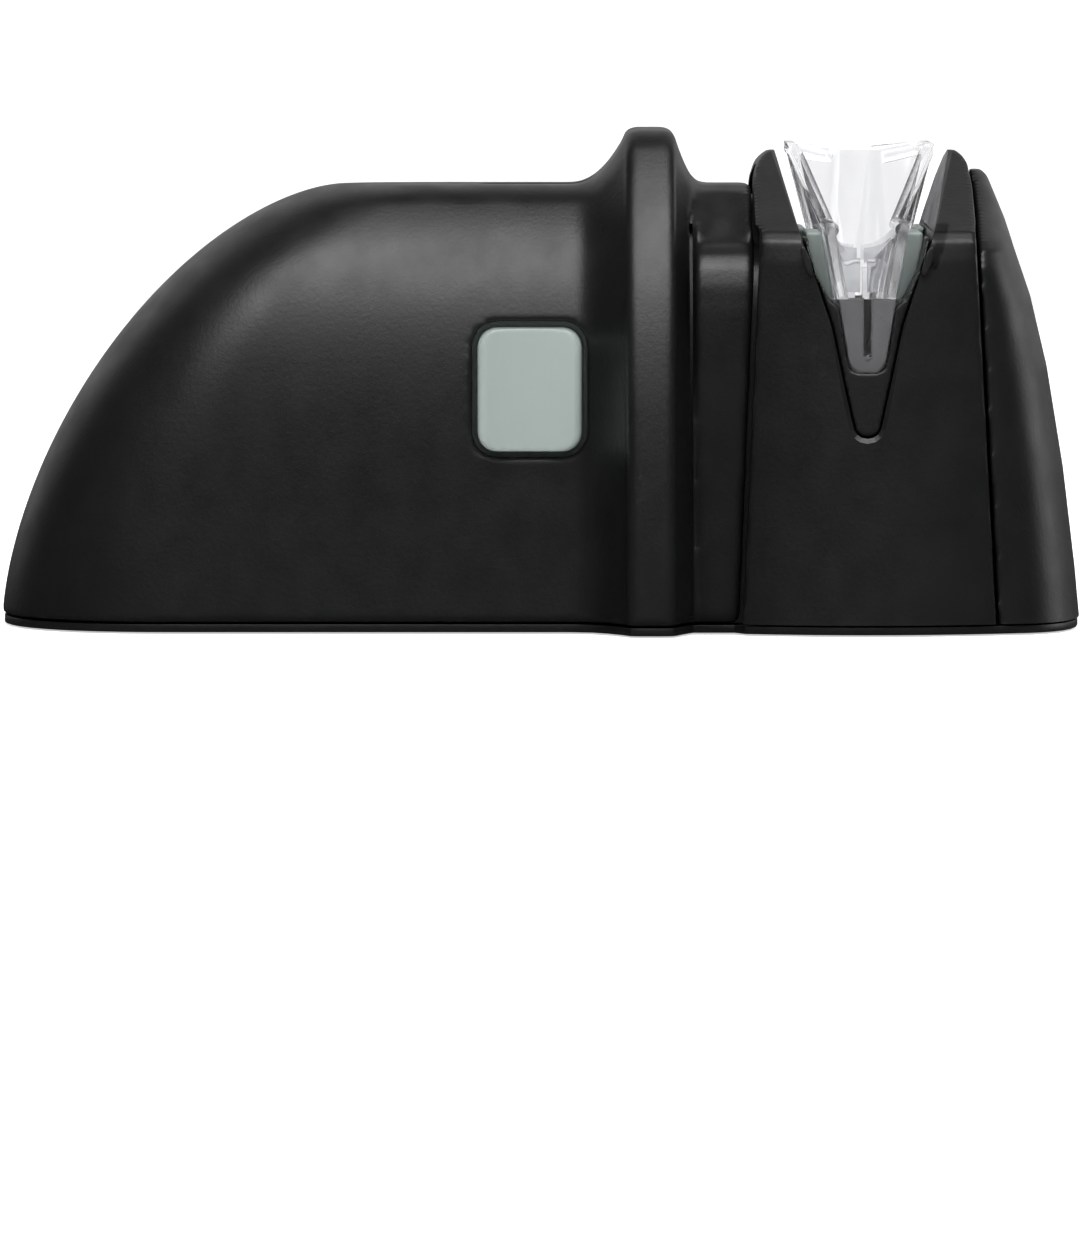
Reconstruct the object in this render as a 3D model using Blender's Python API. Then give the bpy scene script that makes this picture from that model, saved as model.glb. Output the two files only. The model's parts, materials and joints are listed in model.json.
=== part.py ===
"""Battery knife sharpener: a grip with a thumb button and a light window, a hand guard, and a head
whose V slot holds a clear blade guide over two grinding wheels.

Lengths are in millimetres here and become metres in the meshes. +X runs along the length towards
the head, -Y is the button side, +Z is up and Z = 0 is the table under the rubber feet.
"""

import math

import bmesh
import bpy

MM = 0.001
GAP = 0.3  # clearance between pieces that touch
WELD = 0.002  # points this close are one point after a Boolean
WALL = 2.2  # moulded shells
BASE = 1.8  # the housing's lower edge, above the base plate's lip

# Grip and hand guard
HALF_LENGTH = 85.0
GRIP_HALF, GRIP_TOP, GRIP_TOP_HALF = 40.6, 69.3, 17.5
GUARD_HALF, GUARD_TOP, GUARD_TOP_HALF = 53.15, 78.0, 22.0
GUARD_LEFT, GUARD_CREST_LEFT, GUARD_CREST_RIGHT, GUARD_RIGHT = 4.7, 13.3, 21.3, 25.5
GUARD_EDGE = 2.0  # rounding of the crest's two edges, along X
HOUSING_RIGHT = 27.0
NOSE_RUN, NOSE_POWER = 53.8, 1.65  # how far the grip's back leans in, and its curve
SIDE_DRAFT, SIDE_POWER = 0.09, 5.5
GUARD_EASE = 1.9  # how much sooner the guard's sides start to curve in

# Head
SLOT_X = 50.7
SLOT_FLOOR, SLOT_HALF, SLOT_LEAN = 31.5, 2.5, 0.262
CHEEK, CHEEK_FOOT = 1.6, 43.5
HEAD_TOP = 74.6
BARREL = 0.09  # how much narrower the head is 20 mm from the slot
COVER_LEFT = ((0, 31.3), (62.5, 34.2), (63.6, 33.4), (72, 33.8), (74.6, 34.8))
COVER_RIGHT = ((0, 70.8), (62.5, 67.6), (63.6, 67.8), (72, 67.4), (74.6, 66.6))
COVER_FRONT = (
    (0, -50), (30, -47.4), (58, -45), (61, -44.3), (62.5, -42.6), (63.2, -40.4), (73.4, -10), (74.6, -6.5),
)
COVER_REAR = (
    (0, 50), (30, 47.6), (50, 45.8), (58, 43.6), (64, 38.8), (70, 28), (73.2, 16), (74.6, 4),
)
CAP_FRONT = (
    (0, -45.2), (30, -43.2), (57, -41.2), (59.6, -40), (61, -37), (70.2, -10), (71.6, -6.5),
)
CAP_REAR = (
    (0, 45.2), (30, 43.2), (50, 41.6), (57, 39), (63, 33), (68, 24), (70.6, 14), (71.6, 4),
)
CAP_RIGHT = (
    (0, 85), (9, 84.2), (25, 82.3), (41, 79.7), (52, 77.1),
    (59.3, 74.6), (64, 73.2), (70.6, 70.6), (71.6, 69.6),
)
CAP_ROOT, CAP_POWER = 64.0, 3.4
NECK_FRONT = ((0, -42.4), (57, -40), (59.5, -38.6), (60.5, -35.5), (68.6, -11), (69.4, -7))
NECK_REAR = ((0, 40.2), (40, 38.6), (54, 35), (62, 28), (67, 18), (69.4, 4))
NECK_RIGHT = ((0, 30.9), (60, 33.4), (63.6, 33.0), (69.4, 33.2))

# Blade guide and cradle: half widths by height, for the narrow front part and the wide rear part
GUIDE_FRONT_END, GUIDE_NARROW_END, GUIDE_WIDE_START, GUIDE_REAR_END = -45.6, -6.5, 0.5, 41.0
GUIDE_FLOOR = 41.0
GUIDE_NARROW = ((41, 2.5), (53, 4.5), (64, 6.6))
GUIDE_WIDE = ((41, 2.7), (53, 5.8), (75.5, 11.6))
GUIDE_WALL = 1.4
CRADLE_FLOOR = 39.4
CRADLE_NARROW = ((39.4, 3.6), (53.5, 6.4), (60, 8.0), (68, 8.75))
CRADLE_WIDE = ((39.4, 3.6), (53.5, 7.4), (67, 11.0))
CRADLE_ENDS = (-27.8, 30.0)

# Drive
SPINDLE_Y, SPINDLE_Z, SPINDLE_R = -3.0, 32.0, 2.0
MOTOR_Z, MOTOR_R = 46.0, 12.1
MODULE, PINION_TEETH, GEAR_TEETH = 0.7, 10, 30
WHEEL_R, WHEEL_EDGE_R, WHEEL_WIDTH, WHEEL_GAP = 15.0, 12.4, 3.35, 3.3

# Button and window
BUTTON_X, BUTTON_Z, BUTTON_W, BUTTON_H, BUTTON_R = -1.6, 37.9, 16.2, 19.1, 3.0
BUTTON_FACE, BUTTON_INNER = -40.2, -28.7
WINDOW_X, WINDOW_L, WINDOW_W, WINDOW_BORDER = -0.5, 17.0, 6.2, 1.3

# Batteries (AA)
CELL_R, CELL_L, CELL_PITCH, CELL_Z = 7.1, 49.2, 14.8, 9.9
CELL_LEFT = -61.0
DOOR_LEFT, DOOR_RIGHT, DOOR_HALF, DOOR_LOW, DOOR_HIGH = -66.0, -4.5, 31.0, 0.4, 2.0


def material(name, colour, roughness, metallic=0.0, transmission=0.0):
    made = bpy.data.materials.new(name)
    made.use_nodes = True
    shader = made.node_tree.nodes["Principled BSDF"]
    shader.inputs["Base Color"].default_value = (*colour, 1.0)
    shader.inputs["Roughness"].default_value = roughness
    shader.inputs["Metallic"].default_value = metallic
    shader.inputs["Transmission Weight"].default_value = transmission
    made.diffuse_color = (*colour, 1.0)
    return made


def lookup(table, value):
    """Straight-line reading of a table of (position, value) pairs, held flat past its ends."""
    if value <= table[0][0]:
        return table[0][1]
    for (x0, y0), (x1, y1) in zip(table, table[1:]):
        if value <= x1:
            return y0 + (y1 - y0) * (value - x0) / (x1 - x0)
    return table[-1][1]


def mesh_object(name, points, faces, finish, origin=(0, 0, 0)):
    """One object from points in millimetres, with its faces turned outwards and its origin set."""
    mesh = bpy.data.meshes.new(name)
    moved = [tuple((p[i] - origin[i]) * MM for i in range(3)) for p in points]
    mesh.from_pydata(moved, [], faces)
    built = bmesh.new()
    built.from_mesh(mesh)
    bmesh.ops.recalc_face_normals(built, faces=built.faces)
    built.to_mesh(mesh)
    built.free()
    mesh.shade_smooth()
    mesh.set_sharp_from_angle(angle=math.radians(35))
    made = bpy.data.objects.new(name, mesh)
    made.location = [c * MM for c in origin]
    bpy.context.collection.objects.link(made)
    if finish:
        mesh.materials.append(finish)
    return made


def loft(name, rings, finish=None, origin=(0, 0, 0), top_faces=None):
    """A closed body through rings of equally many points; top_faces replaces the flat last cap."""
    count = len(rings[0])
    points = [p for ring in rings for p in ring]
    faces = []
    for row in range(len(rings) - 1):
        for i in range(count):
            j = (i + 1) % count
            low, high = row * count, (row + 1) * count
            faces.append((low + i, low + j, high + j, high + i))
    last = (len(rings) - 1) * count
    faces.append(tuple(range(count)))
    if top_faces is None:
        faces.append(tuple(range(last, last + count)))
    else:
        faces += [tuple(last + i for i in face) for face in top_faces]
    return mesh_object(name, points, faces, finish, origin)


def placed(axis, u, v, along):
    return {"X": (along, u, v), "Y": (u, along, v), "Z": (u, v, along)}[axis]


def prism(name, outline, axis, start, end, finish=None, origin=(0, 0, 0)):
    """An outline in the plane across the axis, carried from start to end."""
    rings = [[placed(axis, u, v, along) for u, v in outline] for along in (start, end)]
    return loft(name, rings, finish, origin)


def box(name, low, high, finish=None, origin=(0, 0, 0)):
    outline = [(low[0], low[1]), (high[0], low[1]), (high[0], high[1]), (low[0], high[1])]
    return prism(name, outline, "Z", low[2], high[2], finish, origin)


def rounded(cx, cy, width, height, radius, steps=5):
    """A rectangle with round corners, as outline points."""
    outline = []
    corners = ((1, 1, 0), (-1, 1, 90), (-1, -1, 180), (1, -1, 270))
    for sx, sy, turn in corners:
        for step in range(steps + 1):
            angle = math.radians(turn + 90 * step / steps)
            x = cx + sx * (width / 2 - radius) + radius * math.cos(angle)
            y = cy + sy * (height / 2 - radius) + radius * math.sin(angle)
            outline.append((x, y))
    return outline


def turned(name, profile, axis, centre, finish=None, sides=32, origin=None):
    """A profile of (radius, along) turned about an axis: solid if it starts and ends on it, else a ring."""
    solid = profile[0][0] == 0
    middle = profile[1:-1] if solid else profile
    points, faces = [], []
    for radius, along in middle:
        for step in range(sides):
            angle = 2 * math.pi * step / sides
            u, v = radius * math.cos(angle), radius * math.sin(angle)
            offset = placed(axis, u, v, along)
            points.append(tuple(centre[i] + offset[i] for i in range(3)))
    rows = len(middle)
    for row in range(rows - 1 if solid else rows):
        for i in range(sides):
            j = (i + 1) % sides
            low, high = row * sides, ((row + 1) % rows) * sides
            faces.append((low + i, low + j, high + j, high + i))
    if solid:
        for row, (_, along) in ((0, profile[0]), (rows - 1, profile[-1])):
            pole = len(points)
            offset = placed(axis, 0, 0, along)
            points.append(tuple(centre[i] + offset[i] for i in range(3)))
            faces += [(row * sides + i, row * sides + (i + 1) % sides, pole) for i in range(sides)]
    return mesh_object(name, points, faces, finish, origin or (0, 0, 0))


def rod(name, axis, centre, radius, start, end, finish=None, sides=24, origin=None):
    profile = [(0, start), (radius, start), (radius, end), (0, end)]
    return turned(name, profile, axis, centre, finish, sides, origin)


def combine(target, tool, operation):
    """Applies an exact Boolean to the target, welds its seams and removes the tool."""
    step = target.modifiers.new(operation.title(), "BOOLEAN")
    step.operation = operation
    step.solver = "EXACT"
    step.object = tool
    graph = bpy.context.evaluated_depsgraph_get()
    result = bpy.data.meshes.new_from_object(target.evaluated_get(graph))
    target.modifiers.clear()
    target.data = result
    result.name = target.name
    welded = bmesh.new()
    welded.from_mesh(result)
    bmesh.ops.remove_doubles(welded, verts=welded.verts, dist=WELD * MM)
    bmesh.ops.dissolve_degenerate(welded, edges=welded.edges, dist=WELD * MM)
    welded.to_mesh(result)
    welded.free()
    bpy.data.objects.remove(tool)
    return target


def cut(target, *tools):
    for tool in tools:
        combine(target, tool, "DIFFERENCE")
    return target


def join(target, *tools):
    for tool in tools:
        combine(target, tool, "UNION")
    return target


def common(target, tool):
    return combine(target, tool, "INTERSECT")


# Grip, guard and neck ---------------------------------------------------------------------------


def guard_growth(x):
    """0 on the grip, 1 on the hand guard's crest, through a concave fillet and a round edge."""
    edge = 0.82
    if x <= GUARD_LEFT or x >= GUARD_RIGHT:
        return 0.0
    if x < GUARD_CREST_LEFT:
        return edge * ((x - GUARD_LEFT) / (GUARD_CREST_LEFT - GUARD_LEFT)) ** 2.2
    if x > GUARD_CREST_RIGHT:
        return edge * ((GUARD_RIGHT - x) / (GUARD_RIGHT - GUARD_CREST_RIGHT)) ** 1.8
    inside = min((x - GUARD_CREST_LEFT), (GUARD_CREST_RIGHT - x)) / GUARD_EDGE
    return edge + (1 - edge) * math.sqrt(1 - max(0.0, 1 - inside) ** 2)


def arch_half(z, growth, inset):
    """Half the body's width at a height, on the grip (growth 0) or the guard (growth 1)."""
    base = GRIP_HALF + growth * (GUARD_HALF - GRIP_HALF)
    top = GRIP_TOP + growth * (GUARD_TOP - GRIP_TOP)
    top_half = GRIP_TOP_HALF + growth * (GUARD_TOP_HALF - GRIP_TOP_HALF)
    curl = base - SIDE_DRAFT * top - top_half
    z = max(0.0, min(z, top))
    return base - SIDE_DRAFT * z - curl * (z / top) ** (SIDE_POWER - growth * GUARD_EASE) - inset


def grip_body(name, levels, stations, nose_steps, inset=0.0, low=BASE, finish=None):
    """The grip with its rounded nose and the hand guard, as one loft from bottom to top."""
    rings = []
    for level in levels:
        front, rear, nose = [], [], []
        for x in stations:
            growth = guard_growth(x) if inset == 0 else 0.0
            top = GRIP_TOP + growth * (GUARD_TOP - GRIP_TOP)
            z = low + level * (top - inset - low)
            half = arch_half(z + inset * level, growth, inset)
            front.append((x, -half, z))
            rear.append((x, half, z))
        z = low + level * (GRIP_TOP - inset - low)
        rise = max(0.0, min(1.0, (z + inset * level) / GRIP_TOP))
        half = arch_half(z + inset * level, 0.0, inset)
        run = NOSE_RUN * (1 - rise**NOSE_POWER) ** (1 / NOSE_POWER)
        back = NOSE_RUN - HALF_LENGTH - run + inset
        depth = 29.0 - 9.0 * rise
        for step in range(1, nose_steps):
            angle = math.pi * (step / nose_steps - 0.5)
            c, s = math.cos(angle), math.sin(angle)
            x = back + depth * (1 - abs(c) ** (2 / 2.4))
            nose.append((x, math.copysign(half * abs(s) ** (2 / 2.4), s), z))
        rings.append(front[::-1] + [(back + depth, -half, z)] + nose + [(back + depth, half, z)] + rear)
    last = len(stations)
    count = len(rings[0])
    caps = [(i, i + 1, count - 2 - i, count - 1 - i) for i in range(last - 1)]
    caps.append(tuple(range(last - 1, count - last + 1)))
    return loft(name, rings, finish, top_faces=caps)


def slab_body(name, front, rear, left, right, levels, finish=None, inset=0.0, barrel=0.0, steps=8):
    """A block whose front, rear, left and right limits are read from tables by height."""
    rings = []
    for z in levels:
        x0, x1 = lookup(left, z + inset), lookup(right, z + inset)
        y0, y1 = lookup(front, z + inset) + inset, lookup(rear, z + inset) - inset
        xs = [x0 + (x1 - x0) * i / steps for i in range(steps + 1)]
        swell = [1 - barrel * ((x - SLOT_X) / 20) ** 2 for x in xs]
        ring = [(x, y0 * k, z) for x, k in zip(xs, swell)]
        ring += [(x, y1 * k, z) for x, k in zip(reversed(xs), reversed(swell))]
        rings.append(ring)
    return loft(name, rings, finish)


def shifted(table, by):
    return tuple((z, x + by) for z, x in table)


def fixed(x):
    return ((0, x),)


def levels_between(low, high, *tables):
    """The heights where any table bends, between two heights."""
    found = {low, high}
    for table in tables:
        found |= {z for z, _ in table if low + 0.4 < z < high - 0.4}
    return sorted(found)


def main_housing(finish):
    levels = [0, 0.2, 0.4, 0.55, 0.68, 0.78, 0.85, 0.9, 0.94, 0.97, 0.99, 1.0]
    fillet = [GUARD_LEFT + (GUARD_CREST_LEFT - GUARD_LEFT) * i / 5 for i in range(6)]
    crest = [13.6, 14.3, 15.3, 19.3, 20.3, 21.0]
    fall = [21.3, 21.9, 22.7, 23.6, 24.5, 25.5, HOUSING_RIGHT]
    shell = grip_body("main_housing", levels, fillet + crest + fall, 16, finish=finish)
    neck_levels = levels_between(BASE, 69.4, NECK_FRONT, NECK_REAR)
    join(shell, slab_body("neck", NECK_FRONT, NECK_REAR, fixed(19), NECK_RIGHT, neck_levels))
    inner = [0, 0.3, 0.55, 0.75, 0.87, 0.94, 0.98, 1.0]
    cut(shell, grip_body("cavity", inner, [4.7, HOUSING_RIGHT - 1.5], 12, inset=WALL, low=-1.0))
    low_levels = levels_between(-1.0, 69.4 - WALL, NECK_FRONT, NECK_REAR)
    cut(shell, slab_body("neck_cavity", NECK_FRONT, NECK_REAR, fixed(18), fixed(40), low_levels, inset=WALL))
    for side in (-1, 1):
        boss = rod("boss", "Z", (15, side * 30, 0), 3.6, 3.4, 56)
        cut(boss, rod("bore", "Z", (15, side * 30, 0), 1.6, 0, 16, sides=12))
        join(shell, boss)
    hole = rounded(BUTTON_X, BUTTON_Z, BUTTON_W + 1.8, BUTTON_H + 1.8, BUTTON_R + 0.9)
    cut(shell, prism("button_hole", hole, "Y", -46, -26))
    window = rounded(WINDOW_X, 0, WINDOW_L + 2 * GAP, WINDOW_W + 2 * GAP, 1.5 + GAP, 3)
    cut(shell, prism("window_hole", window, "Z", 60, 80))
    return shell


def window_pieces(frame_finish, lens_finish):
    """The window's frame and lens, both cut flush with the top surface they sit in."""
    fillet = [GUARD_LEFT + (GUARD_CREST_LEFT - GUARD_LEFT) * i / 5 for i in range(6)]

    def skin(drop):
        top = [(x, GRIP_TOP - drop + guard_growth(x) * (GUARD_TOP - GRIP_TOP)) for x in fillet]
        return prism("skin", [(-40, 50), (-40, GRIP_TOP - drop)] + top + [(14, 50)], "Y", -20, 20)

    inner_l, inner_w = WINDOW_L - 2 * WINDOW_BORDER, WINDOW_W - 2 * WINDOW_BORDER
    outer = rounded(WINDOW_X, 0, WINDOW_L, WINDOW_W, 1.5, 3)
    frame = prism("window_frame", outer, "Z", 65.6, 80, frame_finish)
    cut(frame, prism("opening", rounded(WINDOW_X, 0, inner_l, inner_w, 0.8, 2), "Z", 60, 85))
    common(frame, skin(0.0))
    outline = rounded(WINDOW_X, 0, inner_l - 2 * GAP, inner_w - 2 * GAP, 0.6, 2)
    lens = prism("window_lens", outline, "Z", 65.0, 80, lens_finish)
    common(lens, skin(0.25))


# Head -------------------------------------------------------------------------------------------


def slot_half(z):
    return SLOT_HALF + SLOT_LEAN * (z - SLOT_FLOOR)


def slot_outline(shrink=0.0, top=82.0, steps=8):
    """The V with a round bottom, as (x, z) points."""
    outline = [(SLOT_X + slot_half(top) - shrink, top)]
    for step in range(steps + 1):
        angle = -math.pi * step / steps
        x = SLOT_X + (SLOT_HALF - shrink) * math.cos(angle)
        outline.append((x, SLOT_FLOOR + (SLOT_HALF - shrink) * 0.75 * math.sin(angle)))
    outline.append((SLOT_X - slot_half(top) + shrink, top))
    return outline


def cheek_outline():
    """The two sloping cheeks that line the V between the cover's front and rear walls."""
    low, high = CHEEK_FOOT, HEAD_TOP + 4
    wide, narrow = slot_half(high) + CHEEK, slot_half(low) + CHEEK
    return [(SLOT_X + wide, high), (SLOT_X + narrow, low), (SLOT_X - narrow, low), (SLOT_X - wide, high)]


def cover_body(name, low, left, right, inset=0.0, finish=None):
    """The head cover's outer form, or the same form moved inwards, from a height to its top."""
    levels = levels_between(low, HEAD_TOP - (WALL if inset == WALL else 0), COVER_FRONT, COVER_REAR, COVER_LEFT)
    return slab_body(name, COVER_FRONT, COVER_REAR, left, right, levels, finish, inset, BARREL)


def head_cover(finish):
    cover = cover_body("head_cover", BASE, COVER_LEFT, COVER_RIGHT, finish=finish)
    cut(cover, cover_body("hollow", -1, fixed(25), fixed(80), WALL))
    cheeks = prism("cheeks", cheek_outline(), "Y", -60, 60)
    common(cheeks, cover_body("limit", 20, COVER_LEFT, COVER_RIGHT, 0.6))
    join(cover, cheeks)
    return cut(cover, prism("v_slot", slot_outline(), "Y", -60, 60))


def slot_liners(finish):
    """Two V-shaped blocks that close the notch in front of and behind the cradle."""
    for name, start, end in (
        ("slot_liner_front", -60, CRADLE_ENDS[0] - GAP),
        ("slot_liner_rear", CRADLE_ENDS[1] + GAP, 60),
    ):
        liner = prism(name, slot_outline(0.4, 62.0), "Y", start, end, finish)
        common(liner, cover_body("inside", 20, fixed(30), fixed(72), 1.2))
        table = GUIDE_NARROW if start < 0 else GUIDE_WIDE
        channel = [(x, z) for x, z in v_outline(shifted(table, 0.5), GUIDE_FLOOR - 0.4, 80)]
        cut(liner, prism("channel", channel, "Y", -70, 70))


def v_outline(table, floor, top):
    """A V-shaped outline about the slot's middle, from a table of half widths by height."""
    heights = [floor] + [z for z, _ in table if floor + 0.6 < z < top - 0.6] + [top]
    right = [(SLOT_X + lookup(table, z), z) for z in heights]
    left = [(SLOT_X - lookup(table, z), z) for z in reversed(heights)]
    return right + left


def tapered_v(name, table, floor, top, ends, finish=None):
    return prism(name, v_outline(table, floor, top), "Y", ends[0], ends[1], finish)


def flared(table, z):
    """A half width read from a table, carried on in a straight line above its end."""
    (z0, h0), (z1, h1) = table[-2:]
    return h1 + (h1 - h0) * (z - z1) / (z1 - z0) if z > z1 else lookup(table, z)


def guide_solid(name, grow, floor, finish=None, above=0.0):
    """The guide's outer form: narrow in front, wide behind, pointed at the rear."""
    top_n, top_w = GUIDE_NARROW[-1][0] + above, GUIDE_WIDE[-1][0] + above
    rows = []
    for y, table, top, shrink in (
        (GUIDE_FRONT_END - grow, GUIDE_NARROW, top_n, 0.0),
        (GUIDE_NARROW_END, GUIDE_NARROW, top_n, 0.0),
        (GUIDE_WIDE_START, GUIDE_WIDE, top_w, 0.0),
        (35.5, GUIDE_WIDE, top_w, 0.0),
        (GUIDE_REAR_END + grow, GUIDE_WIDE, top_w - 2.0, 0.5),
    ):
        heights = [floor, 53.0, top]
        rise = [(z - GUIDE_FLOOR) / (GUIDE_WIDE[-1][0] - GUIDE_FLOOR) for z in heights]
        halves = [(flared(table, z) + grow) * (1 - shrink * share) for z, share in zip(heights, rise)]
        ring = [(SLOT_X + h, y, z) for h, z in zip(halves, heights)]
        ring += [(SLOT_X - h, y, z) for h, z in zip(reversed(halves), reversed(heights))]
        rows.append(ring)
    return loft(name, rows, finish)


def wheel_window(extra):
    """The opening that lets the wheels reach through the guide's and the cradle's floor."""
    reach = WHEEL_WIDTH + WHEEL_GAP / 2 + extra
    low = (SLOT_X - reach, SPINDLE_Y - WHEEL_R + 1.6, 30)
    high = (SLOT_X + reach, SPINDLE_Y + WHEEL_R - 1.6, SPINDLE_Z + WHEEL_R + 0.8)
    return box("wheel_window", low, high)


def blade_guide(finish):
    guide = guide_solid("blade_guide", 0.0, GUIDE_FLOOR, finish)
    inner = guide_solid("inner", -GUIDE_WALL, GUIDE_FLOOR + 1.5, above=8.0)
    cut(guide, inner, wheel_window(0.5))
    cut(guide, box("blade_slit", (SLOT_X - 0.6, -60, 44), (SLOT_X + 0.6, 60, 90)))
    return guide


def guide_cradle(finish):
    front = tapered_v("guide_cradle", CRADLE_NARROW, CRADLE_FLOOR, 68.0, (CRADLE_ENDS[0], 1.0), finish)
    join(front, tapered_v("wide", CRADLE_WIDE, CRADLE_FLOOR, 67.0, (-1.5, CRADLE_ENDS[1])))
    cut(front, guide_solid("inner", 0.5, GUIDE_FLOOR - 0.4, above=12.0), wheel_window(0.6))
    return front


def end_cap(finish):
    def body(name, inset, low, left, top):
        levels = levels_between(low, top, CAP_FRONT, CAP_REAR, CAP_RIGHT)
        rings = []
        for z in levels:
            x0, x1 = lookup(left, z), lookup(CAP_RIGHT, z + inset) - inset
            y0, y1 = lookup(CAP_FRONT, z + inset) + inset, lookup(CAP_REAR, z + inset) - inset
            front, rear = [], []
            for step in range(9):
                x = x0 + (x1 - x0) * math.sin(math.pi / 2 * step / 9)
                share = (1 - ((x - CAP_ROOT) / (x1 - CAP_ROOT)) ** CAP_POWER) ** (1 / CAP_POWER)
                front.append((x, y0 * share, z))
                rear.append((x, y1 * share, z))
            rings.append(front + [(x1, 0, z)] + rear[::-1])
        return loft(name, rings, finish if inset == 0 else None)

    cap = body("end_cap", 0.0, BASE, shifted(COVER_RIGHT, GAP), 71.6)
    cut(cap, body("hollow", WALL, -1.0, fixed(65.5), 71.6 - WALL))
    for side in (-1, 1):
        boss = rod("boss", "Z", (72.3, side * 22, 0), 3.4, 3.4, 54)
        cut(boss, rod("bore", "Z", (72.3, side * 22, 0), 1.6, 0, 16, sides=12))
        join(cap, boss)
    return cap


def guide_clips(finish):
    """The small lens-shaped catches on the notch's two edges."""
    for name, side in (("guide_clip_left", -1), ("guide_clip_right", 1)):
        z = 58.6
        x = SLOT_X + side * (slot_half(z) - 1.35)
        rings = []
        for y in (-43.6, -39):
            ring = []
            for step in range(12):
                angle = 2 * math.pi * step / 12
                u, v = 0.7 * math.cos(angle), 2.4 * math.sin(angle)
                ring.append((x + u + side * SLOT_LEAN * v, y, z + v))
            rings.append(ring)
        loft(name, rings, finish)
        pocket = []
        for ring, deeper in zip(rings, (-6, 0.4)):
            pocket.append([(px + (px - x) * 0.35, py + deeper, pz + (pz - z) * 0.2) for px, py, pz in ring])
        cut(bpy.data.objects["slot_liner_front"], loft("pocket", pocket))


# Underside --------------------------------------------------------------------------------------


def plate_outline(grow, guard=1.0):
    """The object's foot outline: grip, guard, neck, cover and cap. A guard of 0 passes inside it."""
    outline = []
    for step in range(0, 13):
        angle = math.pi / 2 * step / 12
        x = -HALF_LENGTH - grow + (29 + grow) * (1 - math.cos(angle) ** (2 / 2.4))
        outline.append((x, (GRIP_HALF + grow) * math.sin(angle) ** (2 / 2.4)))
    for x in (4.7, 8, 10.5, 12.6, 13.3, 14, 15.3, 19.3, 20.6, 21.3, 22, 23):
        outline.append((x, GRIP_HALF + guard * guard_growth(x) * (GUARD_HALF - GRIP_HALF) + grow))
    neck = GRIP_HALF + guard * 1.7
    neck_end = 30.6 + grow if guard else 33.4
    outline += [(23.8, neck + grow), (neck_end, neck + grow)]
    for step in range(9):
        x = 31.4 - grow + (39.2 + 2 * grow) * step / 8
        outline.append((x, 50 * (1 - BARREL * ((x - SLOT_X) / 20) ** 2) + grow))
    for step in range(1, 10):
        x = 71.4 + (HALF_LENGTH + grow - 71.4) * math.sin(math.pi / 2 * step / 9)
        share = max(0.0, 1 - ((x - CAP_ROOT) / (HALF_LENGTH + grow - CAP_ROOT)) ** CAP_POWER)
        outline.append((x, (45.1 + grow) * share ** (1 / CAP_POWER)))
    upper = [(x, y) for x, y in outline if y > 1e-6]
    return [outline[0]] + upper + [(HALF_LENGTH + grow, 0.0)] + [(x, -y) for x, y in reversed(upper)]


FEET = ((-74, -12), (-74, 12), (71, -32), (71, 32))
BASE_SCREWS = ((15, -30), (15, 30), (72.3, -22), (72.3, 22))


def base_plate(finish):
    plate = prism("base_plate", plate_outline(-0.4), "Z", 0.3, 1.5, finish)
    join(plate, prism("slab", plate_outline(-WALL - 2.0, 0.0), "Z", 1.0, 3.0))
    low = (DOOR_LEFT - GAP, -DOOR_HALF - GAP, 0)
    cut(plate, box("door_hole", low, (DOOR_RIGHT + GAP, DOOR_HALF + GAP, 4)))
    for side in (-1, 1):
        low = (DOOR_RIGHT - 1.6, side * 32.4 - 1.4, 0.2)
        cut(plate, box("pin_socket", low, (DOOR_RIGHT, side * 32.4 + 1.4, 2.2)))
    for x, y in FEET:
        cut(plate, rod("pocket", "Z", (x, y, 0), 5.3, 0, 1.9))
    for x, y in BASE_SCREWS:
        cut(plate, rod("bore", "Z", (x, y, 0), 1.6, 0, 5, sides=12))
        cut(plate, rod("sink", "Z", (x, y, 0), 3.0, 0, 1.9))
    return plate


def feet_and_screws(rubber, steel):
    for number, (x, y) in enumerate(FEET, 1):
        profile = [(0, 0), (4.5, 0), (5.0, 0.4), (5.0, 1.6), (0, 1.6)]
        turned(f"rubber_foot_{number}", profile, "Z", (x, y, 0), rubber, 24)
    for number, (x, y) in enumerate(BASE_SCREWS, 1):
        profile = [(0, 0.6), (2.4, 0.6), (2.7, 0.9), (2.7, 1.6), (1.3, 1.9), (1.3, 11), (0, 11.8)]
        turned(f"base_screw_{number}", profile, "Z", (x, y, 0), steel, 16)


def door_axis():
    return (DOOR_RIGHT - 0.8, 0.0, (DOOR_LOW + DOOR_HIGH) / 2)


def battery_door(finish):
    """The door turns down about round trunnions at its right-hand edge."""
    ax, _, az = door_axis()
    radius = (DOOR_HIGH - DOOR_LOW) / 2
    outline = [(DOOR_LEFT, DOOR_LOW), (ax, DOOR_LOW)]
    for step in range(1, 8):
        angle = math.pi * (step / 8 - 0.5)
        outline.append((ax + radius * math.cos(angle), az + radius * math.sin(angle)))
    outline += [(ax, DOOR_HIGH), (DOOR_LEFT, DOOR_HIGH)]
    origin = (ax, 0, az)
    door = prism("battery_door", outline, "Y", -DOOR_HALF, DOOR_HALF, finish, origin)
    for side in (-1, 1):
        join(door, rod("trunnion", "Y", (ax, side * 31.0, az), 0.55, -1.6, 1.6, sides=12))
    for number in range(4):
        x = DOOR_LEFT + 5 + 2.2 * number
        cut(door, box("grip_groove", (x, -7, DOOR_LOW - 1), (x + 1.1, 7, DOOR_LOW + 0.5)))
    return door


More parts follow.
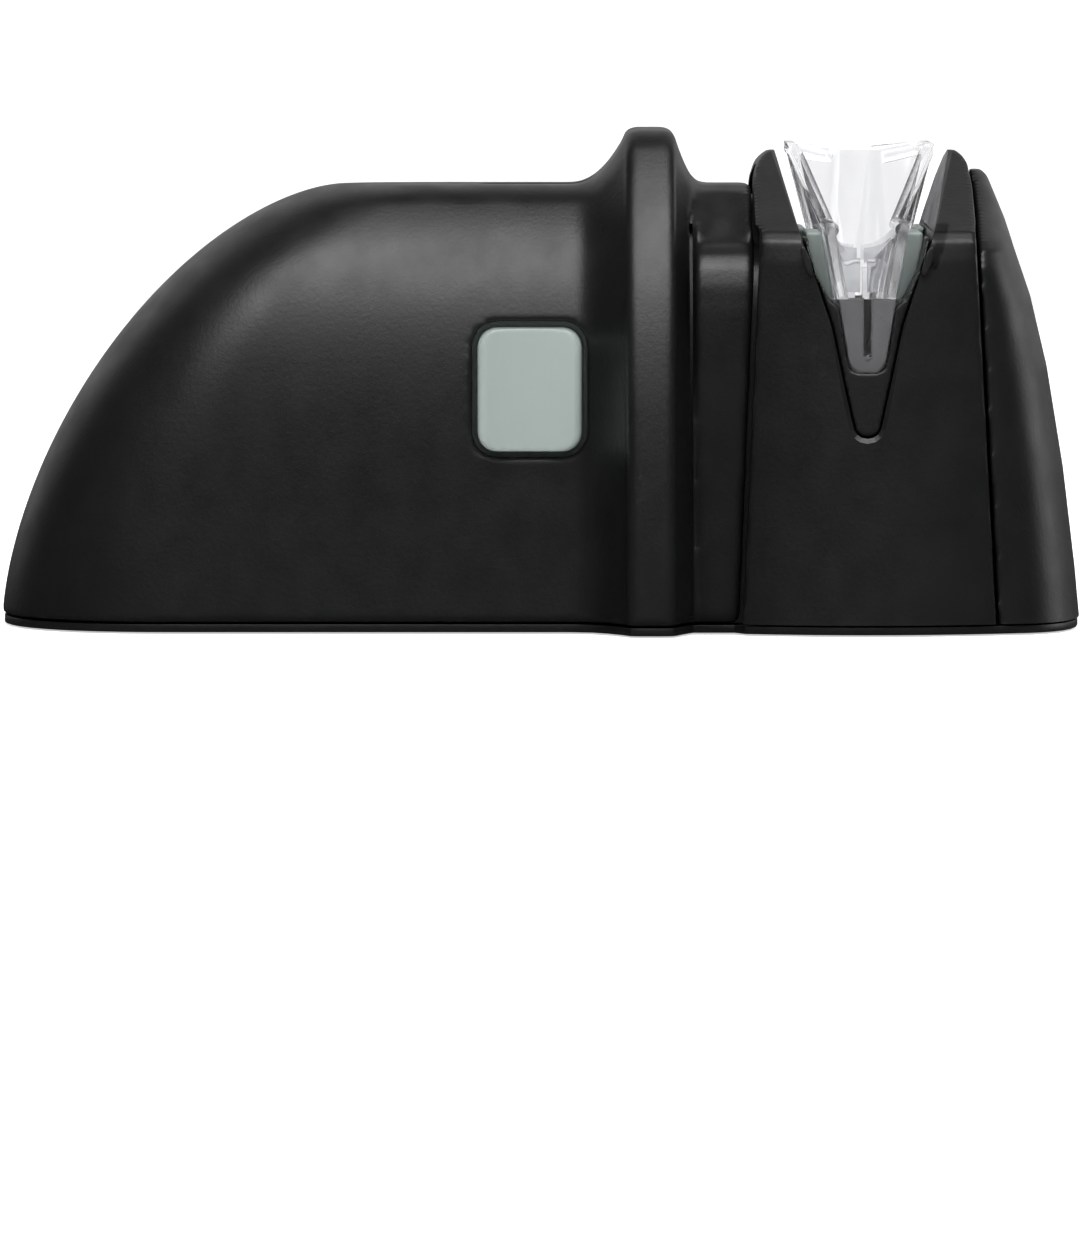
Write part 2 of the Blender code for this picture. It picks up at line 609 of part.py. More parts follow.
def battery_bay(plastic, steel, label):
    tray = box("battery_tray", (-68.2, -33, 3.4), (-3.0, 33, 20.6), plastic)
    cut(tray, box("bay", (-66.4, -31.2, 0), (-4.8, 31.2, 18.9)))
    for side in (-1, 1):
        cut(tray, box("corner", (-90, side * 33 - 6, 0), (-64.0, side * 33 + 6, 30)))
    positions = [(number - 1.5) * CELL_PITCH for number in range(4)]
    for number, y in enumerate(positions, 1):
        flip = -1 if number % 2 else 1
        middle = CELL_LEFT + CELL_L / 2
        half = CELL_L / 2
        profile = [(0, -half), (6.4, -half), (CELL_R, 0.8 - half), (CELL_R, half - 0.8), (6.2, half)]
        profile += [(2.7, half), (2.7, half + 1.2), (0, half + 1.3)]
        centre = (middle, y, CELL_Z)
        turned(f"battery_cell_{number}", [(r, flip * a) for r, a in profile], "X", centre, label, 24)
        spring_x = middle - flip * (half + 0.4)
        coil(f"contact_spring_{number}", (spring_x, y, CELL_Z), -flip, steel)
    for name, x in (("contact_plate_left", -66.0), ("contact_plate_right", -5.7)):
        box(name, (x, -29.5, 5.0), (x + 0.5, 29.5, 15.5), steel)


def coil(name, start, direction, finish):
    """A conical contact spring along X, as one bent wire."""
    places = []
    for step in range(19):
        share = step / 18
        angle = 4 * math.pi * share
        size = 2.4 + 2.0 * share
        along = start[0] + direction * 2.6 * share
        places.append((along, start[1] + size * math.cos(angle), start[2] + size * math.sin(angle)))
    return wire(name, places, 0.35, finish)


def wire(name, places, radius, finish):
    """A square-section wire through points in millimetres."""
    spine = bpy.data.curves.new(name, "CURVE")
    spine.dimensions = "3D"
    spine.bevel_depth = radius * MM
    spine.bevel_resolution = 0
    spine.use_fill_caps = True
    line = spine.splines.new("POLY")
    line.points.add(len(places) - 1)
    for point, place in zip(line.points, places):
        point.co = (*[c * MM for c in place], 1)
    made = bpy.data.objects.new(name, spine)
    spine.materials.append(finish)
    bpy.context.collection.objects.link(made)
    return made


# Drive ------------------------------------------------------------------------------------------


def gear(name, teeth, bore, x_range, centre, turn, finish):
    """A spur gear about X with straight-sided teeth, a little thinner than half their pitch."""
    pitch = MODULE * teeth / 2
    root, tip = pitch - 1.2 * MODULE, pitch + 0.85 * MODULE
    root_wide, tip_wide = 0.62 * math.pi * MODULE / 2 / root, 0.27 * math.pi * MODULE / 2 / tip
    outline = []
    for tooth in range(teeth):
        middle = turn + 2 * math.pi * tooth / teeth
        for radius, angle in ((root, -root_wide), (tip, -tip_wide), (tip, tip_wide), (root, root_wide)):
            u, v = radius * math.cos(middle + angle), radius * math.sin(middle + angle)
            outline.append((centre[1] + u, centre[2] + v))
    made = prism(name, outline, "X", x_range[0], x_range[1], finish, centre)
    return cut(made, rod("bore", "X", centre, bore, -20, 20, sides=24))


def drive(steel, brass, stone, plastic, motor_steel, nylon):
    spindle = (0.0, SPINDLE_Y, SPINDLE_Z)
    motor = (0.0, SPINDLE_Y, MOTOR_Z)
    spindle_origin = (SLOT_X, SPINDLE_Y, SPINDLE_Z)
    motor_origin = (12.0, SPINDLE_Y, MOTOR_Z)

    can = [(0, -20), (MOTOR_R, -20), (MOTOR_R, 7), (MOTOR_R - 1, 8)]
    can += [(5, 8), (5, 10), (1.4, 10), (1.4, 4), (0, 4)]
    turned("motor_can", can, "X", motor, motor_steel, 32)
    lid = [(0, -23), (3, -23), (3, -22.2), (11, -22.2), (11, -20.3), (0, -20.3)]
    turned("motor_end_cap", lid, "X", motor, plastic, 32)
    plate = prism("motor_mount", rounded(SPINDLE_Y, 42.5, 34, 33, 4, 3), "X", 8.3, 10.2, plastic)
    cut(plate, rod("hole", "X", motor, 5.4, 0, 20), rod("relief", "X", spindle, 2.6, 0, 20))
    for side in (-1, 1):
        cut(plate, rod("screw_hole", "X", (0, SPINDLE_Y + side * 8.5, MOTOR_Z), 1.6, 0, 20, sides=12))
    for number, side in enumerate((-1, 1), 1):
        profile = [(0, 8.6), (1.2, 8.6), (1.2, 10.5), (2.4, 10.5), (2.4, 11.6), (0, 11.9)]
        turned(f"motor_screw_{number}", profile, "X", (0, SPINDLE_Y + side * 8.5, MOTOR_Z), steel, 16)
    rod("motor_shaft", "X", motor, 1.0, 4.4, 21.0, steel, 16, motor_origin)
    gear("pinion", PINION_TEETH, 1.3, (14.2, 19.4), (14.2, *motor[1:]), math.pi / 2, brass)
    half_tooth = math.pi / GEAR_TEETH
    bore = SPINDLE_R + GAP
    gear("drive_gear", GEAR_TEETH, bore, (14.6, 19.0), (14.6, *spindle[1:]), math.pi / 2 + half_tooth, nylon)

    rod("spindle", "X", spindle, SPINDLE_R, 12.6, 67.0, steel, 24, spindle_origin)
    half_gap = WHEEL_GAP / 2
    for name, side in (("wheel_left", -1), ("wheel_right", 1)):
        near, far = SLOT_X + side * half_gap, SLOT_X + side * (half_gap + WHEEL_WIDTH)
        profile = [(bore, near), (WHEEL_R - 0.4, near), (WHEEL_R, near + side * 0.4)]
        profile += [(WHEEL_R - 0.7, near + side * 1.8), (WHEEL_EDGE_R, far), (bore, far)]
        turned(name, profile, "X", spindle, stone, 40, spindle_origin)
    ring = [(bore, SLOT_X - 1.35), (8, SLOT_X - 1.35), (8, SLOT_X + 1.35), (bore, SLOT_X + 1.35)]
    turned("wheel_spacer", ring, "X", spindle, steel, 32, spindle_origin)
    for name, low, high in (("wheel_nut_left", 42.2, 45.3), ("wheel_nut_right", 56.0, 59.1)):
        corners = [math.pi / 3 * k for k in range(6)]
        hexagon = [(SPINDLE_Y + 4.4 * math.cos(a), SPINDLE_Z + 4.4 * math.sin(a)) for a in corners]
        nut = prism(name, hexagon, "X", low, high, steel, spindle_origin)
        cut(nut, rod("bore", "X", spindle, bore, 30, 70))
    for name, low in (("bushing_left", 35.4), ("bushing_right", 61.4)):
        ring = [(bore, low), (4, low), (4, low + 3.4), (5, low + 3.4), (5, low + 4.4), (bore, low + 4.4)]
        turned(name, ring, "X", spindle, brass, 24)


def chassis(finish):
    """Floor and two bulkheads that carry the spindle's bushings."""
    frame = box("chassis", (22.6, -30, 3.4), (68, 26, 5.8), finish)
    for low in (35.4, 61.4):
        outline = [(-26, 4), (20, 4), (12, 46), (-18, 46)]
        join(frame, prism("bulkhead", outline, "X", low, low + 3.0))
        cut(frame, rod("seat", "X", (0, SPINDLE_Y, SPINDLE_Z), 4 + GAP, low - 2, low + 6))
    for x, y in ((31, -26), (31, 22)):
        cut(frame, rod("hole", "Z", (x, y, 0), 1.6, 0, 9, sides=12))
    tray = box("swarf_tray", (41.2, -21, 6.2), (60.2, 15, 13.5), finish)
    cut(tray, box("hollow", (42.4, -19.8, 7.4), (59.0, 13.8, 20)))
    return frame


def channel_screws(steel):
    """Two screws in the liners' floors, under the clear guide."""
    for number, (name, y) in enumerate((("slot_liner_front", -36.0), ("slot_liner_rear", 36.0)), 1):
        profile = [(0, 33.0), (0.9, 33.0), (0.9, 38.6), (1.7, 38.6), (1.7, 39.7), (0, 40.0)]
        turned(f"channel_screw_{number}", profile, "Z", (SLOT_X, y, 0), steel, 16)
        pocket = [(0, 32.0), (1.25, 32.0), (1.25, 38.3), (2.05, 38.3), (2.05, 45), (0, 45)]
        cut(bpy.data.objects[name], turned("pocket", pocket, "Z", (SLOT_X, y, 0), None, 16))


# Switch and light -------------------------------------------------------------------------------


def button(finish, steel, plastic):
    """A cap with a dished face, a lip behind the wall, and a plunger that enters the switch."""
    origin = (BUTTON_X, BUTTON_FACE, BUTTON_Z)
    rings = []
    face = BUTTON_FACE
    for y, shrink in ((BUTTON_INNER - 1.2, 0), (face + 0.9, 0), (face + 0.25, 0.3), (face, 0.9)):
        width, height = BUTTON_W - 2 * shrink, BUTTON_H - 2 * shrink
        outline = rounded(BUTTON_X, BUTTON_Z, width, height, BUTTON_R - shrink / 2)
        rings.append([(x, y, z) for x, z in outline])
    cap = loft("button_cap", rings, finish, origin)
    cut(cap, rod("dish", "Z", (BUTTON_X, face - 20.9, BUTTON_Z), 22, -23, 23, sides=64))
    lip = rounded(BUTTON_X, BUTTON_Z, BUTTON_W + 4, BUTTON_H + 4, BUTTON_R + 1)
    join(cap, prism("lip", lip, "Y", BUTTON_INNER - 1.3, BUTTON_INNER))
    centre = (BUTTON_X, 0, BUTTON_Z)
    plunger = (BUTTON_X, BUTTON_INNER + GAP, BUTTON_Z)
    rod("switch_plunger", "Y", centre, 1.6, BUTTON_INNER + GAP, -21.5, plastic, 16, plunger)
    low, high = (BUTTON_X - 6, -26.5, BUTTON_Z - 6), (BUTTON_X + 6, -17.6, BUTTON_Z + 6)
    body = box("switch_body", low, high, plastic)
    cut(body, rod("bore", "Y", centre, 1.95, -40, -19.0, sides=16))
    places = []
    for step in range(13):
        angle = 2 * math.pi * step / 10
        y = BUTTON_INNER + 0.65 + step / 12 * 0.9
        places.append((BUTTON_X + 3.2 * math.cos(angle), y, BUTTON_Z + 3.2 * math.sin(angle)))
    wire("button_spring", places, 0.3, steel)


def electronics(board_finish, light_finish):
    box("circuit_board", (-17, -15, 59.4), (9, 12, 60.8), board_finish)
    profile = [(0, 61.1), (1.9, 61.1), (1.9, 61.7), (1.5, 61.7), (1.5, 63.6), (1.0, 64.4), (0, 64.7)]
    turned("indicator_led", profile, "Z", (WINDOW_X, 0, 0), light_finish, 16)


def main():
    for old in list(bpy.data.objects):
        bpy.data.objects.remove(old)
    black = material("soft_black", (0.014, 0.015, 0.016), 0.42)
    inner_black = material("inner_black", (0.02, 0.02, 0.02), 0.5)
    grey = material("sage_grey", (0.32, 0.36, 0.34), 0.45)
    clear = material("clear_plastic", (0.9, 0.9, 0.92), 0.08, 0.0, 0.9)
    lens = material("light_lens", (0.62, 0.68, 0.68), 0.3)
    steel = material("steel", (0.6, 0.6, 0.6), 0.3, 1.0)
    brass = material("brass", (0.75, 0.6, 0.3), 0.35, 1.0)
    stone = material("grinding_stone", (0.5, 0.48, 0.45), 0.8)
    motor_steel = material("motor_steel", (0.55, 0.56, 0.57), 0.35, 1.0)
    nylon = material("nylon", (0.8, 0.79, 0.75), 0.5)
    rubber = material("rubber", (0.03, 0.03, 0.03), 0.85)
    board = material("board_green", (0.05, 0.2, 0.1), 0.5)
    label = material("cell_label", (0.1, 0.16, 0.3), 0.35)

    main_housing(black)
    window_pieces(grey, lens)
    head_cover(black)
    slot_liners(inner_black)
    guide_clips(inner_black)
    end_cap(black)
    blade_guide(clear)
    guide_cradle(grey)
    base_plate(black)
    feet_and_screws(rubber, steel)
    battery_door(black)
    battery_bay(inner_black, steel, label)
    drive(steel, brass, stone, inner_black, motor_steel, nylon)
    chassis(inner_black)
    channel_screws(steel)
    button(grey, steel, inner_black)
    electronics(board, lens)


main()
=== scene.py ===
import json
import math

import bmesh
import bpy
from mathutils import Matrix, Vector


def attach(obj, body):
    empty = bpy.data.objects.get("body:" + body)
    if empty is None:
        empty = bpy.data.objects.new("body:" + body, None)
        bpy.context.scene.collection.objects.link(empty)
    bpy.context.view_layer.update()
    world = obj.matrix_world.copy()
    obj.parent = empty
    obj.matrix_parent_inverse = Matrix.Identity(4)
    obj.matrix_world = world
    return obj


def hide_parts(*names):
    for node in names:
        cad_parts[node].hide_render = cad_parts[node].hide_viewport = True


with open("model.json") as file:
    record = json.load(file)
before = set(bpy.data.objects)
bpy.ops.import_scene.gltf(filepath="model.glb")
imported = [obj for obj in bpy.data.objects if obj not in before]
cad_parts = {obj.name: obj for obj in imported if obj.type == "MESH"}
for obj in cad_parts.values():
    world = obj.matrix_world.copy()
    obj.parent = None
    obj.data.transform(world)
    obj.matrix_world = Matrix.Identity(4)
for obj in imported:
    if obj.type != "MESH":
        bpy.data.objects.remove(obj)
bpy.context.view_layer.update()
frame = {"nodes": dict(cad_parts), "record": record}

# Battery knife sharpener. Lengths are in millimetres here and become metres in the meshes: +X towards
# the head, -Y the button side, +Z up, the table at Z = 0. Most of the form's constants are the CAD's. A
# table such as COVER_LEFT is a list of (z, value) corners, read between corners by lookup().

MM = 0.001
GAP = 0.3
WALL = 2.2
BASE = 1.8

HALF_LENGTH = 85.0
GRIP_HALF, GRIP_TOP, GRIP_TOP_HALF = 40.6, 69.3, 17.5
GUARD_HALF, GUARD_TOP, GUARD_TOP_HALF = 53.15, 78.0, 22.0
GUARD_LEFT, GUARD_CREST_LEFT, GUARD_CREST_RIGHT, GUARD_RIGHT = 4.7, 13.3, 21.3, 25.5
GUARD_EDGE = 2.0
CREST_EDGE, FLANK_LEFT_POWER, FLANK_RIGHT_POWER = 0.82, 2.2, 1.8
HOUSING_RIGHT = 27.0
NOSE_RUN, NOSE_POWER = 53.8, 1.65
NOSE_DEPTH, NOSE_DEPTH_LOSS, NOSE_ROUNDNESS = 29.0, 9.0, 2.4  # the nose in plan: a superellipse
SIDE_DRAFT, SIDE_POWER = 0.09, 5.5
GUARD_EASE = 1.9
CROWN_DEPTH, CROWN_RUN = 3.0, 5.0  # soft turn from the sides into the flat top

SLOT_X = 50.7
BARREL, BARREL_HALF = 0.09, 20
HEAD_TOP, FIN_FOOT, FIN_BEVEL = 74.6, 63, 2.6  # the bevel along the slot is deeper up the fins
COVER_LEFT = (
    (0, 31.3), (62.5, 34.2), (63.6, 33.4), (69.2, 33.3),
    (70.6, 33.5), (72.4, 34.0), (73.6, 34.7), (74.6, 35.8),
)
COVER_RIGHT = (
    (0, 70.8), (62.5, 67.6), (63.6, 67.8), (69.2, 67.7), (72.4, 67.3), (73.6, 66.7), (74.6, 65.6),
)
COVER_FRONT = (
    (0, -50), (30, -47.4), (58, -45), (61, -44.3), (62.5, -42.6), (63.2, -40.4), (73.4, -10), (74.6, -6.5),
)
COVER_REAR = ((0, 50), (30, 47.6), (50, 45.8), (58, 43.6), (64, 38.8), (70, 28), (73.2, 16), (74.6, 4))
CAP_TOP = 71.6
CAP_FRONT = ((0, -45.2), (30, -43.2), (57, -41.2), (59.6, -40), (61, -37), (70.2, -10), (71.6, -6.5))
CAP_REAR = ((0, 45.2), (30, 43.2), (50, 41.6), (57, 39), (63, 33), (68, 24), (70.6, 14), (71.6, 4))
CAP_RIGHT = (
    (0, 85), (9, 84.2), (25, 82.3), (41, 79.7), (52, 77.1),
    (59.3, 74.6), (64, 73.2), (70.6, 70.6), (71.6, 69.6),
)
CAP_ROOT, CAP_POWER = 64.0, 3.4
NECK_TOP = 69.4
NECK_FRONT = (
    (0, -42.4), (50, -40.3), (54, -39.7), (57, -38.5), (59, -36.7), (60.2, -34), (60.5, -31.6), (61.5, -29.6),
    (64, -26), (66.5, -21.6), (68.4, -18), (69.4, -13),
)
NECK_REAR = ((0, 40.2), (40, 38.6), (54, 35), (62, 28), (67, 18), (69.4, 4))
NECK_LEFT = 24.0
NECK_RIGHT = ((0, 30.9), (60, 33.4), (63.6, 33.0), (69.4, 33.2))
SHOULDER_Z, SHOULDER_BLEND, SADDLE_X, SADDLE_HALF = 60.3, 1.5, 28.6, 4.8
GROOVE = (23.3, 23.8)  # the groove between the guard and the neck, as a range of X
V_HALF = (
    (30.6, 0.0), (30.75, 0.9), (31.2, 1.6), (32.0, 2.1), (34, 2.6), (40, 3.9), (48, 5.6), (54, 7.6),
    (59, 9.4), (62.4, 10.43), (63.2, 10.65), (66, 11.4), (70, 12.5), (73.4, 13.4), (74.6, 13.75), (84, 16.3),
)
V_CENTRE = 32.6  # where the slot's sides turn into its round bottom
CHEEK = 1.6

GUIDE_FRONT_END, GUIDE_NARROW_END, GUIDE_WIDE_START, GUIDE_REAR_END = -45.6, -6.5, 0.5, 41.0
GUIDE_FLOOR = 41.0
GUIDE_NARROW = ((41, 2.5), (53, 4.5), (64, 6.6))
GUIDE_WIDE = ((41, 2.7), (53, 5.8), (75.5, 11.6))
GUIDE_WALL = 1.4
GUIDE_NARROW_TOP, GUIDE_WIDE_TOP, GUIDE_RAIL_END = GUIDE_NARROW[-1][0], GUIDE_WIDE[-1][0], 35.9
SLIT_HALF, SLIT_FLOOR = 0.58, 43.2  # the slit that the blade runs in
CHANNEL_EASE, CHANNEL_SCREW_Y = 0.35, 36.0
CRADLE_NARROW = ((39.4, 3.6), (50.4, 5.0), (52, 6.2), (56, 8.1), (60, 9.0), (64, 9.3))
CRADLE_WIDE = ((39.4, 3.6), (51, 5.9), (53.5, 7.4), (57, 8.7), (61, 9.6), (67, 11.3))
CRADLE_ENDS = (-27.8, 30.0)
GATE, GATE_TOP = (-43.5, -41.8), 52.4  # the dark wall behind the guide's front, as a range of Y

SPINDLE_Y, SPINDLE_Z, SPINDLE_R = -3.0, 32.0, 2.0
WHEEL_R, WHEEL_EDGE_R, WHEEL_WIDTH, WHEEL_GAP = 15.0, 12.4, 3.35, 3.3

BUTTON_X, BUTTON_Z, BUTTON_W, BUTTON_H, BUTTON_R = -1.6, 37.9, 16.2, 19.1, 3.0
BUTTON_FACE, BUTTON_INNER = -40.2, -28.7
DISH_R, DISH_DEPTH = 22, 1.1  # the thumb's hollow: a round tool this far into the face
WINDOW_X, WINDOW_L, WINDOW_W, WINDOW_BORDER = -0.5, 17.0, 6.2, 1.3

CELL_L, CELL_PITCH, CELL_Z, CELL_LEFT, CELL_R = 49.2, 14.8, 9.9, -61.0, 7.1
FEET = ((-74, -12), (-74, 12), (71, -32), (71, 32))
BASE_SCREWS = ((15, -30), (15, 30), (72.3, -22), (72.3, 22))


# Materials ------------------------------------------------------------------------------------------


def shader_of(name):
    made = bpy.data.materials.new(name)
    made.use_nodes = True
    tree = made.node_tree
    return made, tree, tree.nodes["Principled BSDF"]


def noise(tree, size_mm, detail=2.0, stretch=(1, 1, 1), roughness=0.5):
    """Noise over the object's own coordinates, with features about size_mm across."""
    place = tree.nodes.new("ShaderNodeTexCoord")
    mapping = tree.nodes.new("ShaderNodeMapping")
    mapping.inputs["Scale"].default_value = stretch
    made = tree.nodes.new("ShaderNodeTexNoise")
    made.inputs["Scale"].default_value = 1 / (size_mm * MM)
    made.inputs["Detail"].default_value = detail
    made.inputs["Roughness"].default_value = roughness
    tree.links.new(place.outputs["Object"], mapping.inputs["Vector"])
    tree.links.new(mapping.outputs["Vector"], made.inputs["Vector"])
    return made.outputs["Fac"]


def ranged(tree, value, low, high, start=0.3, end=0.7):
    made = tree.nodes.new("ShaderNodeMapRange")
    made.inputs["From Min"].default_value = start
    made.inputs["From Max"].default_value = end
    made.inputs["To Min"].default_value = low
    made.inputs["To Max"].default_value = high
    tree.links.new(value, made.inputs["Value"])
    return made.outputs["Result"]


def blend_colour(tree, factor, first, second):
    made = tree.nodes.new("ShaderNodeMix")
    made.data_type = "RGBA"
    for socket, colour in ((made.inputs[6], first), (made.inputs[7], second)):
        if isinstance(colour, tuple):
            socket.default_value = (*colour, 1.0)
        else:
            tree.links.new(colour, socket)
    tree.links.new(factor, made.inputs[0])
    return made.outputs[2]


def scaled(colour, k):
    return tuple(min(1.0, c * k) for c in colour)


def bumped(tree, shader, height, depth_mm, strength=1.0, under=None):
    made = tree.nodes.new("ShaderNodeBump")
    made.inputs["Strength"].default_value = strength
    made.inputs["Distance"].default_value = depth_mm * MM
    tree.links.new(height, made.inputs["Height"])
    if under is not None:
        tree.links.new(under, made.inputs["Normal"])
    tree.links.new(made.outputs["Normal"], shader.inputs["Normal"])
    return made.outputs["Normal"]


def moulded(name, colour, rough, grain=0.22, depth=0.006, spread=0.05, edge_highlight=1.35, mottle=0.08, specular=0.5):
    """Moulded plastic: spark-eroded grain, soft handling marks and a painted highlight on convex edges, which
    lightens their colour in place of the sheen of edges rubbed a little smoother.
    """
    made, tree, shader = shader_of(name)
    broad = ranged(tree, noise(tree, 14.0, 3.0), 0.0, 1.0)
    body = blend_colour(tree, broad, scaled(colour, 1 - mottle), scaled(colour, 1 + mottle))
    geometry = tree.nodes.new("ShaderNodeNewGeometry")
    # Painted highlight: the colour is lifted on convex edges, where pointiness is high, standing in for the
    # sheen of rubbed edges
    edge = ranged(tree, geometry.outputs["Pointiness"], 0.0, 1.0, 0.53, 0.6)
    tree.links.new(blend_colour(tree, edge, body, scaled(colour, edge_highlight)), shader.inputs["Base Color"])
    marks = ranged(tree, noise(tree, 5.0, 4.0, (1, 0.5, 0.8)), rough - spread, rough + spread)
    tree.links.new(marks, shader.inputs["Roughness"])
    shader.inputs["Specular IOR Level"].default_value = specular
    coarse = bumped(tree, shader, noise(tree, grain * 3, 1.0), depth * 1.5)
    bumped(tree, shader, noise(tree, grain, 2.0), depth, under=coarse)
    return made


def clear(name, tint, rough, ior):
    """Clear moulded plastic with faint flow marks and fine rubbing scratches."""
    made, tree, shader = shader_of(name)
    shader.inputs["Base Color"].default_value = (*tint, 1.0)
    shader.inputs["Transmission Weight"].default_value = 0.955
    shader.inputs["IOR"].default_value = ior
    tree.links.new(ranged(tree, noise(tree, 3.0, 3.0), rough * 0.5, rough * 1.6), shader.inputs["Roughness"])
    flow = bumped(tree, shader, noise(tree, 9.0, 1.0), 0.01)
    bumped(tree, shader, noise(tree, 0.5, 2.0, (1.0, 0.15, 1.0)), 0.002, under=flow)
    return made


def metal(name, colour, rough, stretch=(1, 1, 1), grain=0.3, depth=0.004):
    made, tree, shader = shader_of(name)
    shader.inputs["Metallic"].default_value = 1.0
    cloud = ranged(tree, noise(tree, 4.0, 3.0), 0.0, 1.0)
    body = blend_colour(tree, cloud, scaled(colour, 0.86), scaled(colour, 1.08))
    tree.links.new(body, shader.inputs["Base Color"])
    lines = noise(tree, grain, 3.0, stretch)
    tree.links.new(ranged(tree, lines, rough * 0.75, rough * 1.3), shader.inputs["Roughness"])
    bumped(tree, shader, lines, depth)
    return made


def abrasive(name, colour):
    """Bonded grit: pale and dark grains with open pores between them."""
    made, tree, shader = shader_of(name)
    place = tree.nodes.new("ShaderNodeTexCoord")
    grains = tree.nodes.new("ShaderNodeTexVoronoi")
    grains.inputs["Scale"].default_value = 1 / (0.32 * MM)
    tree.links.new(place.outputs["Object"], grains.inputs["Vector"])
    tone = ranged(tree, grains.outputs["Distance"], 0.0, 1.0, 0.1, 0.7)
    body = blend_colour(tree, tone, scaled(colour, 1.12), scaled(colour, 0.7))
    stain = ranged(tree, noise(tree, 2.6, 4.0), 0.0, 0.6)
    tree.links.new(blend_colour(tree, stain, body, scaled(colour, 0.55)), shader.inputs["Base Color"])
    tree.links.new(ranged(tree, noise(tree, 0.6), 0.68, 0.95), shader.inputs["Roughness"])
    bumped(tree, shader, grains.outputs["Distance"], 0.06)
    return made


BLACK = (0.0042, 0.0045, 0.0046)
SAGE = (0.225, 0.262, 0.247)
# In each moulded() call the seventh value sets how much convex edges are lightened as a painted highlight
soft_black = moulded("soft_black_moulding", BLACK, 0.41, 0.24, 0.018)
inner_black = moulded("inner_black_moulding", (0.0062, 0.0064, 0.0066), 0.47, 0.35, 0.01)
sage = moulded("sage_moulding", SAGE, 0.42, 0.2, 0.003, 0.06, 1.08, 0.03)
clear_plastic = clear("clear_moulding", (0.765, 0.768, 0.78), 0.11, 1.08)
lens = moulded("frosted_lens", (0.42, 0.46, 0.46), 0.3, 0.3, 0.004, 0.06, 1.05, 0.03)
steel = metal("plated_steel", (0.62, 0.62, 0.61), 0.28, (1, 1, 1), 0.5)
turned_steel = metal("turned_steel", (0.64, 0.64, 0.63), 0.22, (1, 0.1, 0.1), 0.15)
brass = metal("turned_brass", (0.78, 0.6, 0.3), 0.3, (1, 0.1, 0.1), 0.2)
can_steel = metal("motor_can_steel", (0.56, 0.57, 0.58), 0.33, (0.2, 1, 1), 0.3)
stone = abrasive("grinding_grit", (0.6, 0.585, 0.56))
nylon = moulded("nylon_gear", (0.78, 0.76, 0.7), 0.45, 0.3, 0.004, 0.06, 1.05, 0.05)
rubber = moulded("foot_rubber", (0.022, 0.022, 0.022), 0.78, 0.5, 0.02, 0.06, 1.5, 0.15)
board = moulded("board_mask", (0.03, 0.16, 0.07), 0.32, 0.6, 0.004, 0.05, 1.2, 0.1)
sleeve = moulded("cell_sleeve", (0.09, 0.15, 0.3), 0.25, 2.0, 0.01, 0.05, 1.1, 0.06)
FINISHES = {
    "soft_black": soft_black, "inner_black": inner_black, "sage_grey": sage, "clear_plastic": clear_plastic,
    "light_lens": lens, "steel": steel, "brass": brass, "grinding_stone": stone, "motor_steel": can_steel,
    "nylon": nylon, "rubber": rubber, "board_green": board, "cell_label": sleeve,
}


# Mesh helpers ---------------------------------------------------------------------------------------


def lookup(table, value):
    """The table's value between its corners, held level beyond its ends."""
    if value <= table[0][0]:
        return table[0][1]
    for (x0, y0), (x1, y1) in zip(table, table[1:]):
        if value <= x1:
            return y0 + (y1 - y0) * (value - x0) / (x1 - x0)
    return table[-1][1]


def flared(table, z):
    """As lookup, but the last slope carries on above the table's top."""
    (z0, h0), (z1, h1) = table[-2:]
    return h1 + (h1 - h0) * (z - z1) / (z1 - z0) if z > z1 else lookup(table, z)


def steps(low, high, count):
    return [low + (high - low) * i / count for i in range(count + 1)]


def mesh_object(name, points, faces):
    mesh = bpy.data.meshes.new(name)
    mesh.from_pydata([(x * MM, y * MM, z * MM) for x, y, z in points], [], faces)
    built = bmesh.new()
    built.from_mesh(mesh)
    bmesh.ops.recalc_face_normals(built, faces=built.faces)
    built.to_mesh(mesh)
    built.free()
    made = bpy.data.objects.new(name, mesh)
    bpy.context.collection.objects.link(made)
    return made


def loft(name, rings, top_faces=None):
    """A closed solid through rings of equally many points. top_faces splits the last cap."""
    count = len(rings[0])
    points = [p for ring in rings for p in ring]
    faces = []
    for row in range(len(rings) - 1):
        low, high = row * count, (row + 1) * count
        for i in range(count):
            j = (i + 1) % count
            faces.append((low + i, low + j, high + j, high + i))
    last = (len(rings) - 1) * count
    faces.append(tuple(range(count)))
    if top_faces is None:
        faces.append(tuple(range(last, last + count)))
    else:
        faces += [tuple(last + i for i in face) for face in top_faces]
    return mesh_object(name, points, faces)


def placed(axis, u, v, along):
    """A point from its two coordinates across an axis and one along it."""
    return {"X": (along, u, v), "Y": (u, along, v), "Z": (u, v, along)}[axis]


def prism(name, outline, axis, start, end):
    return loft(name, [[placed(axis, u, v, along) for u, v in outline] for along in (start, end)])


def box(name, low, high):
    (x0, y0, z0), (x1, y1, z1) = low, high
    return prism(name, [(x0, y0), (x1, y0), (x1, y1), (x0, y1)], "Z", z0, z1)


def rounded(cx, cy, width, height, radius, turns=8):
    outline = []
    for sx, sy, turn in ((1, 1, 0), (-1, 1, 90), (-1, -1, 180), (1, -1, 270)):
        for step in range(turns + 1):
            angle = math.radians(turn + 90 * step / turns)
            x = cx + sx * (width / 2 - radius) + radius * math.cos(angle)
            outline.append((x, cy + sy * (height / 2 - radius) + radius * math.sin(angle)))
    return outline


